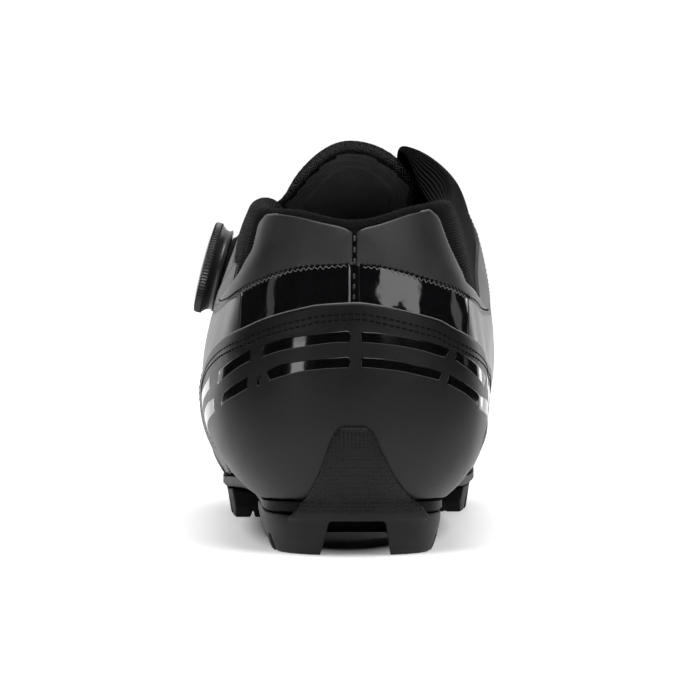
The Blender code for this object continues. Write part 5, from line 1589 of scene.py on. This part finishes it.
plate = ring_body("sole_plate_shell", [fine_ring(*r) for r in zip(ys_, xls_, xms_)], M_NYLON)
for x in (-SLOT_X, SLOT_X):
    pts = []
    for side in (1, -1):
        for k in range(17):
            a = math.pi * k / 16 + (0 if side > 0 else math.pi)
            pts.append((x + SLOT_WIDE / 2 * math.cos(a),
                        SLOT_Y + side * (SLOT_LONG - SLOT_WIDE) / 2 + SLOT_WIDE / 2 * math.sin(a)))
    tool = ring_body("slot", [[(px, py, z) for px, py in pts] for z in (4.0, 26.0)], M_NYLON)
    cut(plate, tool)
plate.data.shade_smooth()
plate.data.set_sharp_from_angle(angle=math.radians(42))
ride(plate, "plate", "sole_plate")
# ribs under the arch of the plate
for k, (xa, xb) in enumerate(((-13.5, -11.0), (-1.2, 1.2), (11.0, 13.5))):
    rings = []
    for y in np.linspace(84, 158, 40):
        z = float(line(KEEL_LINE, y))
        e = min(y - 84, 158 - y)
        d = 1.5 * math.sin(math.pi / 2 * min(e / 10, 1))
        rings.append([(xa, y, z + 0.6), (xa + 0.25, y, z - d + 0.25), (xa + 0.6, y, z - d), (xb - 0.6, y, z - d),
                      (xb - 0.25, y, z - d + 0.25), (xb, y, z + 0.6)])
    ride(ring_body("plate_rib_%d" % (k + 1), rings, M_NYLON), "plate")

# --------------------------------------------------------------------- treads


def dotted():
    k = Look("dotted_rubber", (0.0060, 0.0060, 0.0064), 0.55, spec=0.22)
    dots = k.ramp(k.cells(820.0, "F1", randomness=0.15), 0.18, 0.42, 1.0, 0.0)
    k.bump(dots, 0.32)
    k.bump(k.noise(1500.0, 3.0), 0.05)
    k.tint(dots, (0.0032, 0.0032, 0.0035), (0.0110, 0.0110, 0.0117))
    return k.m


M_GUARD = dotted()


def heel_block():
    rings = []
    lat, med = outline(0.0, flare=False)
    fine_levels = []
    lv = np.array(HEEL_LEVELS)
    for z in np.concatenate([np.linspace(HEEL_TOP, 1.5, 12), [1.0, 0.6, 0.25, 0.0]]):
        fine_levels.append((z, np.interp(z, lv[::-1, 0], lv[::-1, 1]), np.interp(z, lv[::-1, 0], lv[::-1, 2])))
    for z, grow, back in fine_levels:
        ring = []
        for side, edge in ((-1, lat), (1, med)):
            srt = edge[np.argsort(edge[:, 1])]
            lo = srt[:, 1].min()
            ys = lo + (HEEL_END - lo) * (1 - np.cos(np.radians(np.linspace(0, 90, 44))))
            ys = ys if side < 0 else ys[::-1]
            xs = np.interp(ys, srt[:, 1], srt[:, 0])
            for x, y in zip(xs, ys):
                k = max(0.0, 1 - (y - lo) / 22.0)
                g = grow + (back - grow) * k * k
                r = np.array([x - 1.5, (y - 34.0)]) if y <= 34.0 else np.array([x - 1.5, 0.0])
                r = r / np.linalg.norm(r)
                ring.append((x + r[0] * g, y + r[1] * g, z))
        ring.pop()
        rings.append(ring)
    block = ring_body("heel_block", rings, M_RUBBER)

    def bar(z0, z1, levels, y0, y1):
        return ring_body("tool", [[(a, y0, z), (b, y0, z), (b, y1, z), (a, y1, z)] for z, a, b in levels], M_RUBBER)
    cut(block, bar(0, 0, HEEL_GAP, -20.0, HEEL_GAP_TO))
    (z0, a0, b0), (z1, a1, b1) = HEEL_GAP
    k = (HEEL_BAR - z0) / (z1 - z0)
    cut(block, bar(0, 0, ((z0, a0, b0), (HEEL_BAR, a0 + (a1 - a0) * k, b0 + (b1 - b0) * k)), -20.0, HEEL_END + 12))
    for a, b in HEEL_GROOVES:
        cut(block, bar(0, 0, ((-3.0, -60.0, 60.0), (5.2, -60.0, 60.0)), a, b))
    rings = []
    gz = np.array([r[0] for r in GUARD_ROWS])
    for z in np.linspace(gz[0], gz[-1], 40):
        x0, x1, proud = (np.interp(z, gz, [r[c] for r in GUARD_ROWS]) for c in (1, 2, 3))
        xs = np.linspace(x0, x1, 33)
        w = np.linspace(-1, 1, 33)
        ys = np.array([heel_y(x, max(z, 17.6)) for x in xs]) - 0.65
        lift = proud * (1 - 0.40 * np.abs(w) ** 4)
        # the two legs stand prouder than the panel between them
        leg = np.clip((38.0 - z) / 16.0, 0, 1)
        lift = lift * (1 - 0.42 * leg * np.exp(-(w / 0.42) ** 4))
        rings.append([(x, y - b, z) for x, y, b in zip(xs, ys, lift)] + [(x, y, z) for x, y in zip(xs[::-1], ys[::-1])])
    guard = ring_body("guard", rings, M_RUBBER)
    cut(block, guard, "UNION")
    remeshed(block, 0.55, 2, 0.5)
    block.data.materials.append(M_GUARD)
    z = np.empty(len(block.data.polygons) * 3, np.float32)
    block.data.polygons.foreach_get("center", z)
    block.data.polygons.foreach_set("material_index", (z.reshape(-1, 3)[:, 2] > 0.0128).astype(np.int32))
    return ride(block, "tread", "heel_tread")


heel = heel_block()


def forefoot(name, side, lugs, inner, node):
    lat, med = outline(-1.3)
    edge = lat if side < 0 else med
    full_l, full_m = outline(0.0)
    lug = np.array(lugs)
    ys = np.unique(np.concatenate([lug[:, 0], np.linspace(lug[0, 0], lug[-1, 0], 90)]))
    rings = []
    for y in ys:
        zb = float(np.interp(y, lug[:, 0], lug[:, 1]))
        xo = float(np.interp(y, edge[:, 1], edge[:, 0]))
        xl = float(np.interp(y, full_l[:, 1], full_l[:, 0]))
        xm = float(np.interp(y, full_m[:, 1], full_m[:, 0]))
        zr = float(line(RIM_LINE, y)) - 3.6
        z0 = float(line(KEEL_LINE, y))
        xin = side * inner
        far, knee = (xl, (-POCKET_HALF + xl) / 2 - 0.5) if side < 0 else (xm, (POCKET_HALF + xm) / 2 + 0.5)
        zk = z0 + 0.42 * (zr - z0)

        def under(x):
            a, b, c = side * POCKET_HALF, knee, far - side * 0.9
            return float(np.interp(side * x, [side * a, side * b, side * c], [z0, zk, zr - 0.2])) - 0.6
        xs = np.linspace(xin, xo, 9)
        ring = [(x, y, under(x)) for x in xs]
        ring += [(xo - side * 0.4, y, under(xo) - 1.8), (xo - side * 1.6, y, zb)]
        ring += [(x, y, zb) for x in np.linspace(xo - side * 3.0, xin + side * 2.4, 7)]
        ring += [(xin + side * 1.2, y, zb), (xin, y, under(xin) - 1.5)]
        rings.append(ring)
    ob = ring_body(name, rings, M_LUG)
    # two lengthwise grooves under the lugs
    for x in (xin_of(side, 0.36), xin_of(side, 0.66)):
        tool = ring_body("tool", [[(x - 0.75, lug[0, 0] - 6, -2), (x + 0.75, lug[0, 0] - 6, -2), (x + 0.35, lug[0, 0] - 6, 4.4),
                                   (x - 0.35, lug[0, 0] - 6, 4.4)],
                                  [(x - 0.75, lug[-1, 0] + 6, -2), (x + 0.75, lug[-1, 0] + 6, -2), (x + 0.35, lug[-1, 0] + 6, 4.4),
                                   (x - 0.35, lug[-1, 0] + 6, 4.4)]], M_LUG)
        cut(ob, tool)
    remeshed(ob, 0.5, 2, 0.5)
    return ride(ob, "tread", node)


def xin_of(side, k):
    return side * (20.0 + 21.0 * k)


forefoot("forefoot_lugs_lateral", -1, LATERAL_LUGS, 20.0, "forefoot_tread_lateral")
forefoot("forefoot_lugs_medial", 1, MEDIAL_LUGS, 20.0, "forefoot_tread_medial")


def toe_lugs():
    lat, med = outline(-3.0)
    full_l, full_m = outline(0.0)
    lug = np.array(TOE_LUGS)
    ys = np.unique(np.concatenate([lug[:, 0], np.linspace(lug[0, 0], lug[-1, 0], 44)]))
    rings = []
    for y in ys:
        zb = float(np.interp(y, lug[:, 0], lug[:, 1]))
        xl = float(np.interp(y, lat[:, 1], lat[:, 0]))
        xm = float(np.interp(y, med[:, 1], med[:, 0]))
        a = float(np.interp(y, full_l[:, 1], full_l[:, 0]))
        b = float(np.interp(y, full_m[:, 1], full_m[:, 0]))
        half = 0.5 * (b - a)
        flat = min(POCKET_HALF, 0.60 * half)
        mid = 0.0 if flat == POCKET_HALF else 0.5 * (a + b)
        z0, zr = float(line(KEEL_LINE, y)), float(line(RIM_LINE, y)) - 3.6
        xs = [a + 0.9, (mid - flat + a) / 2 - 0.5, mid - flat, mid, mid + flat, (mid + flat + b) / 2 + 0.5, b - 0.9]
        zs = [zr - 0.2, z0 + 0.42 * (zr - z0), z0, z0, z0, z0 + 0.42 * (zr - z0), zr - 0.2]
        cols = np.linspace(xl, xm, 17)
        top = [(x, y, float(np.interp(x, xs, zs)) - 0.9) for x in cols]
        low = [(xm - 0.5, y, top[-1][2] - 1.8), (xm - 2.0, y, zb), ((xm + mid) / 2, y, zb), (mid + 5.0, y, zb),
               (mid + 4.0, y, top[8][2] - 1.6), (mid - 4.0, y, top[8][2] - 1.6), (mid - 5.0, y, zb), ((xl + mid) / 2, y, zb),
               (xl + 2.0, y, zb), (xl + 0.5, y, top[0][2] - 1.8)]
        rings.append(top + low)
    ob = ring_body("toe_lugs", rings, M_LUG)
    remeshed(ob, 0.5, 2, 0.5)
    return ride(ob, "tread", "toe_tread")


toe_lugs()

# ----------------------------------------------------------------------- dial


def lathe(name, profile, mat, n, wave=None, node=None, slot="dial"):
    """profile: (radius, along) pairs round the dial's axis; wave(k, n, row) adds to the radius."""
    rings = []
    for row, (r, h) in enumerate(profile):
        pts = []
        for k in range(n):
            a = 2 * math.pi * k / n
            rr = r + (wave(k, n, row) if wave else 0.0)
            pts.append(DIAL_MID + DIAL_AXIS * h + (DIAL_UP * math.cos(a) + DIAL_SIDE * math.sin(a)) * rr)
        rings.append(pts)
    ob = ring_body(name, rings, mat)
    ob.data.set_sharp_from_angle(angle=math.radians(50))
    if node:
        return ride(ob, slot, node)
    return ride(ob, slot)


H = KNOB_THICK / 2
TEETH = 90


KNOB_PROFILE = [(11.4, -H - 0.1), (13.2, -H + 0.02), (13.9, -H + 0.25), (14.0, -H + 0.55), (13.6, -H + 0.95), (13.5, -H + 1.6),
                (13.8, -H + 2.5), (14.4, -H + 3.3), (14.75, -H + 3.6), (14.8, -H + 3.75), (15.3, -H + 3.95), (15.42, -H + 4.3),
                (15.42, H - 1.2), (15.3, H - 0.8), (14.9, H - 0.5), (14.2, H - 0.38), (13.4, H - 0.30), (13.1, H - 0.52),
                (12.8, H - 0.55), (12.4, H - 0.25), (10.5, H + 0.02), (8.0, H + 0.16), (5.0, H + 0.22), (1.2, H + 0.25)]


def knurl(k, n, row):
    """Fine ribs on the outer part of the rim only."""
    h = KNOB_PROFILE[row][1]
    if -H + 3.9 <= h <= H - 0.45:
        return -0.45 * (0.5 + 0.5 * math.cos(2 * math.pi * k * TEETH / n)) ** 0.7
    return 0.0


lathe("knob_shell", KNOB_PROFILE, M_KNOB, TEETH * 6, knurl, "dial_knob")
base_profile = [(17.0, -H - 15.0), (17.0, -H - 5.2), (16.9, -H - 4.4), (16.5, -H - 3.6), (15.9, -H - 2.9), (15.0, -H - 2.4), (13.6, -H - 1.9), (12.4, -H - 1.4), (12.0, -H - 0.9), (11.6, -H - 0.35)]
base = lathe("dial_housing", base_profile, M_BASE, 96, None, "dial_base")
sq = np.linspace(station("quarter_lat") - 0.10, station("quarter_lat") + 0.10, 61)
vq = np.linspace(0.22, 1.0, 49)
SQ, VQ = np.meshgrid(sq, vq, indexing="ij")
near = upper_point(SQ, VQ) + upper_normal(SQ, VQ) * 0.30
deep = near + np.array([40.0, 0, -8.0])
na, nb = len(sq), len(vq)
verts = grade(np.concatenate([near.reshape(-1, 3), deep.reshape(-1, 3)]))
off = na * nb
faces = []
for i in range(na - 1):
    for j in range(nb - 1):
        q = (i * nb + j, (i + 1) * nb + j, (i + 1) * nb + j + 1, i * nb + j + 1)
        faces += [q, tuple(off + k for k in q[::-1])]
for i in range(na - 1):
    for j in (0, nb - 1):
        faces.append((i * nb + j, (i + 1) * nb + j, off + (i + 1) * nb + j, off + i * nb + j))
for j in range(nb - 1):
    for i in (0, na - 1):
        faces.append((i * nb + j, i * nb + j + 1, off + i * nb + j + 1, off + i * nb + j))
tool = mesh_object("quarter_tool", verts, faces, M_BASE)
bm = bmesh.new()
bm.from_mesh(tool.data)
bmesh.ops.recalc_face_normals(bm, faces=bm.faces)
if bm.calc_volume(signed=True) < 0:
    bmesh.ops.reverse_faces(bm, faces=bm.faces)
bm.to_mesh(tool.data)
bm.free()
cut(base, tool)
base.data.shade_smooth()
base.data.set_sharp_from_angle(angle=math.radians(45))

# ----------------------------------------------------------- cable and guides
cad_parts["lace_wire"].data.materials.clear()
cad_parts["lace_wire"].data.materials.append(M_CABLE)


def guide(name, node):
    """A moulded guide over its cable, a saddle with two wings: a copy of the imported guide, smoothed by subdivision.
    """
    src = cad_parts[node]
    me = src.data.copy()
    ob = bpy.data.objects.new(name, me)
    SCENE.objects.link(ob)
    me.materials.clear()
    me.materials.append(M_BASE)
    sub = ob.modifiers.new("sub", "SUBSURF")
    sub.levels = sub.render_levels = 2
    apply_modifiers(ob)
    ob.data.shade_smooth()
    return ride(ob, "dial", node)


for _n in ("lace_guide_lateral", "lace_guide_medial_upper", "lace_guide_medial_lower"):
    guide(_n + "_shell", _n)


def plan_to_chart(x, y):
    """The chart place under a point in plan, on the top of the upper."""
    s = np.linspace(0.2, 0.8, 601)
    v = np.linspace(0.5, 1.0, 101)
    a, b = np.meshgrid(s, v, indexing="ij")
    p = upper_point(a, b)
    d = np.hypot(p[..., 0] - x, p[..., 1] - y)
    i, j = np.unravel_index(np.argmin(d), d.shape)
    return a[i, j], b[i, j]


for _k, (_x, _y, _w, _h) in enumerate(((21.5, 133.2, 7.5, 5.5), (-22.5, 151.2, 7.5, 5.5), (19.0, 167.4, 7.5, 5.5))):
    s_, v_ = plan_to_chart(_x, _y)
    c = np.array([s_ * L_S, v_ * L_V])
    a_ = np.linspace(0, 2 * math.pi, 48, endpoint=False)
    e_ = np.stack([np.sign(np.cos(a_)) * np.abs(np.cos(a_)) ** 0.6 * _w, np.sign(np.sin(a_)) * np.abs(np.sin(a_)) ** 0.6 * _h * 0.75], -1)
    bb = c + e_
    bb[:, 1] = np.minimum(bb[:, 1], 0.972 * L_V)
    patch("guide_pad_%d" % (_k + 1), bb, 0.40, 0.62, M_QUARTER, "upper", edge=0.4, grid=1.4, cover=False)

# ------------------------------------------------------------ floor and light
me = bpy.data.meshes.new("floor")
me.from_pydata([(-6, -6, 0), (6, -6, 0), (6, 6, 0), (-6, 6, 0)], [], [(0, 1, 2, 3)])
floor = bpy.data.objects.new("floor", me)
SCENE.objects.link(floor)
k = Look("floor_paper", (0.88, 0.88, 0.88), 0.6, spec=0.3)
k.b.inputs["Emission Color"].default_value = (1.0, 1.0, 1.0, 1.0)
# The floor glows evenly white away from the shoe; the ellipse round the footprint where it does not glow is a painted
# contact shadow.
_sep = k.node("ShaderNodeSeparateXYZ")
k.link(k.coords(), _sep.inputs[0])
_dx = k.math("POWER", k.math("ABSOLUTE", k.math("MULTIPLY", _sep.outputs[0], 1 / 0.034)), 2.0)
_dy = k.math("POWER", k.math("ABSOLUTE", k.math("MULTIPLY", _sep.outputs[1], 1 / 0.136)), 2.0)
_painted_shadow_reach = k.math("SQRT", k.math("ADD", _dx, _dy))
k.link(k.ramp(_painted_shadow_reach, 0.80, 1.06, 0.0, 0.45), k.b.inputs["Emission Strength"])
k.bump(k.noise(60.0), 0.01)
me.materials.append(k.m)

world = bpy.data.worlds.new("studio")
bpy.context.scene.world = world
world.use_nodes = True
world.node_tree.nodes["Background"].inputs[0].default_value = (1.0, 1.0, 1.0, 1.0)
world.node_tree.nodes["Background"].inputs[1].default_value = 1.02


def softbox(name, azimuth, elevation, dist, w, h, power, target=(0.0, -0.09, 0.055)):
    """A soft light round the heel: azimuth 0 is the camera's side, 90 the medial side."""
    a, e = math.radians(azimuth), math.radians(elevation)
    d = Vector((math.sin(a) * math.cos(e), -math.cos(a) * math.cos(e), math.sin(e)))
    lamp = bpy.data.lights.new(name, "AREA")
    lamp.shape = "RECTANGLE"
    lamp.size, lamp.size_y, lamp.energy = w, h, power
    ob = bpy.data.objects.new(name, lamp)
    ob.location = Vector(target) + d * dist
    ob.rotation_mode = "QUATERNION"
    ob.rotation_quaternion = (-d).to_track_quat("-Z", "Y")
    SCENE.objects.link(ob)
    return ob


def flag(name, a0, a1, e0, e1, r, centre=(0.0, -0.05, 0.0)):
    """A black cloth round the camera, part of a sphere, which the camera doesn't see."""
    n, m = 24, 12
    verts, faces = [], []
    for i in range(n + 1):
        for j in range(m + 1):
            a = math.radians(a0 + (a1 - a0) * i / n)
            e = math.radians(e0 + (e1 - e0) * j / m)
            verts.append((centre[0] + r * math.sin(a) * math.cos(e), centre[1] - r * math.cos(a) * math.cos(e),
                          centre[2] + r * math.sin(e)))
    for i in range(n):
        for j in range(m):
            o = i * (m + 1) + j
            faces.append((o, o + m + 1, o + m + 2, o + 1))
    ob = mesh_object(name, verts, faces, Look("black_cloth", (0.012, 0.012, 0.012), 0.9, spec=0.05).m)
    ob.visible_camera = False
    return ob


flag("flag_camera", -128, 128, 1.0, 62, 0.85)
softbox("key_medial", 40, 23, 0.72, 0.47, 0.26, 0.62)
softbox("strip_lateral", -82, 20, 0.70, 0.11, 0.36, 0.045)
softbox("fill_lateral", -43, 7, 0.74, 0.13, 0.13, 0.24)
softbox("strip_medial", 106, 20, 0.70, 0.09, 0.36, 0.035)
softbox("top", 6, 68, 0.75, 0.5, 0.4, 4.2)
softbox("front_top", 4, 44, 0.72, 0.45, 0.16, 0.9, target=(0.0, -0.06, 0.10))
softbox("rim_medial", 139, 8, 0.85, 0.12, 0.5, 0.6)
softbox("rim_lateral", -142, 8, 0.85, 0.10, 0.5, 0.35)

bpy.context.view_layer.update()
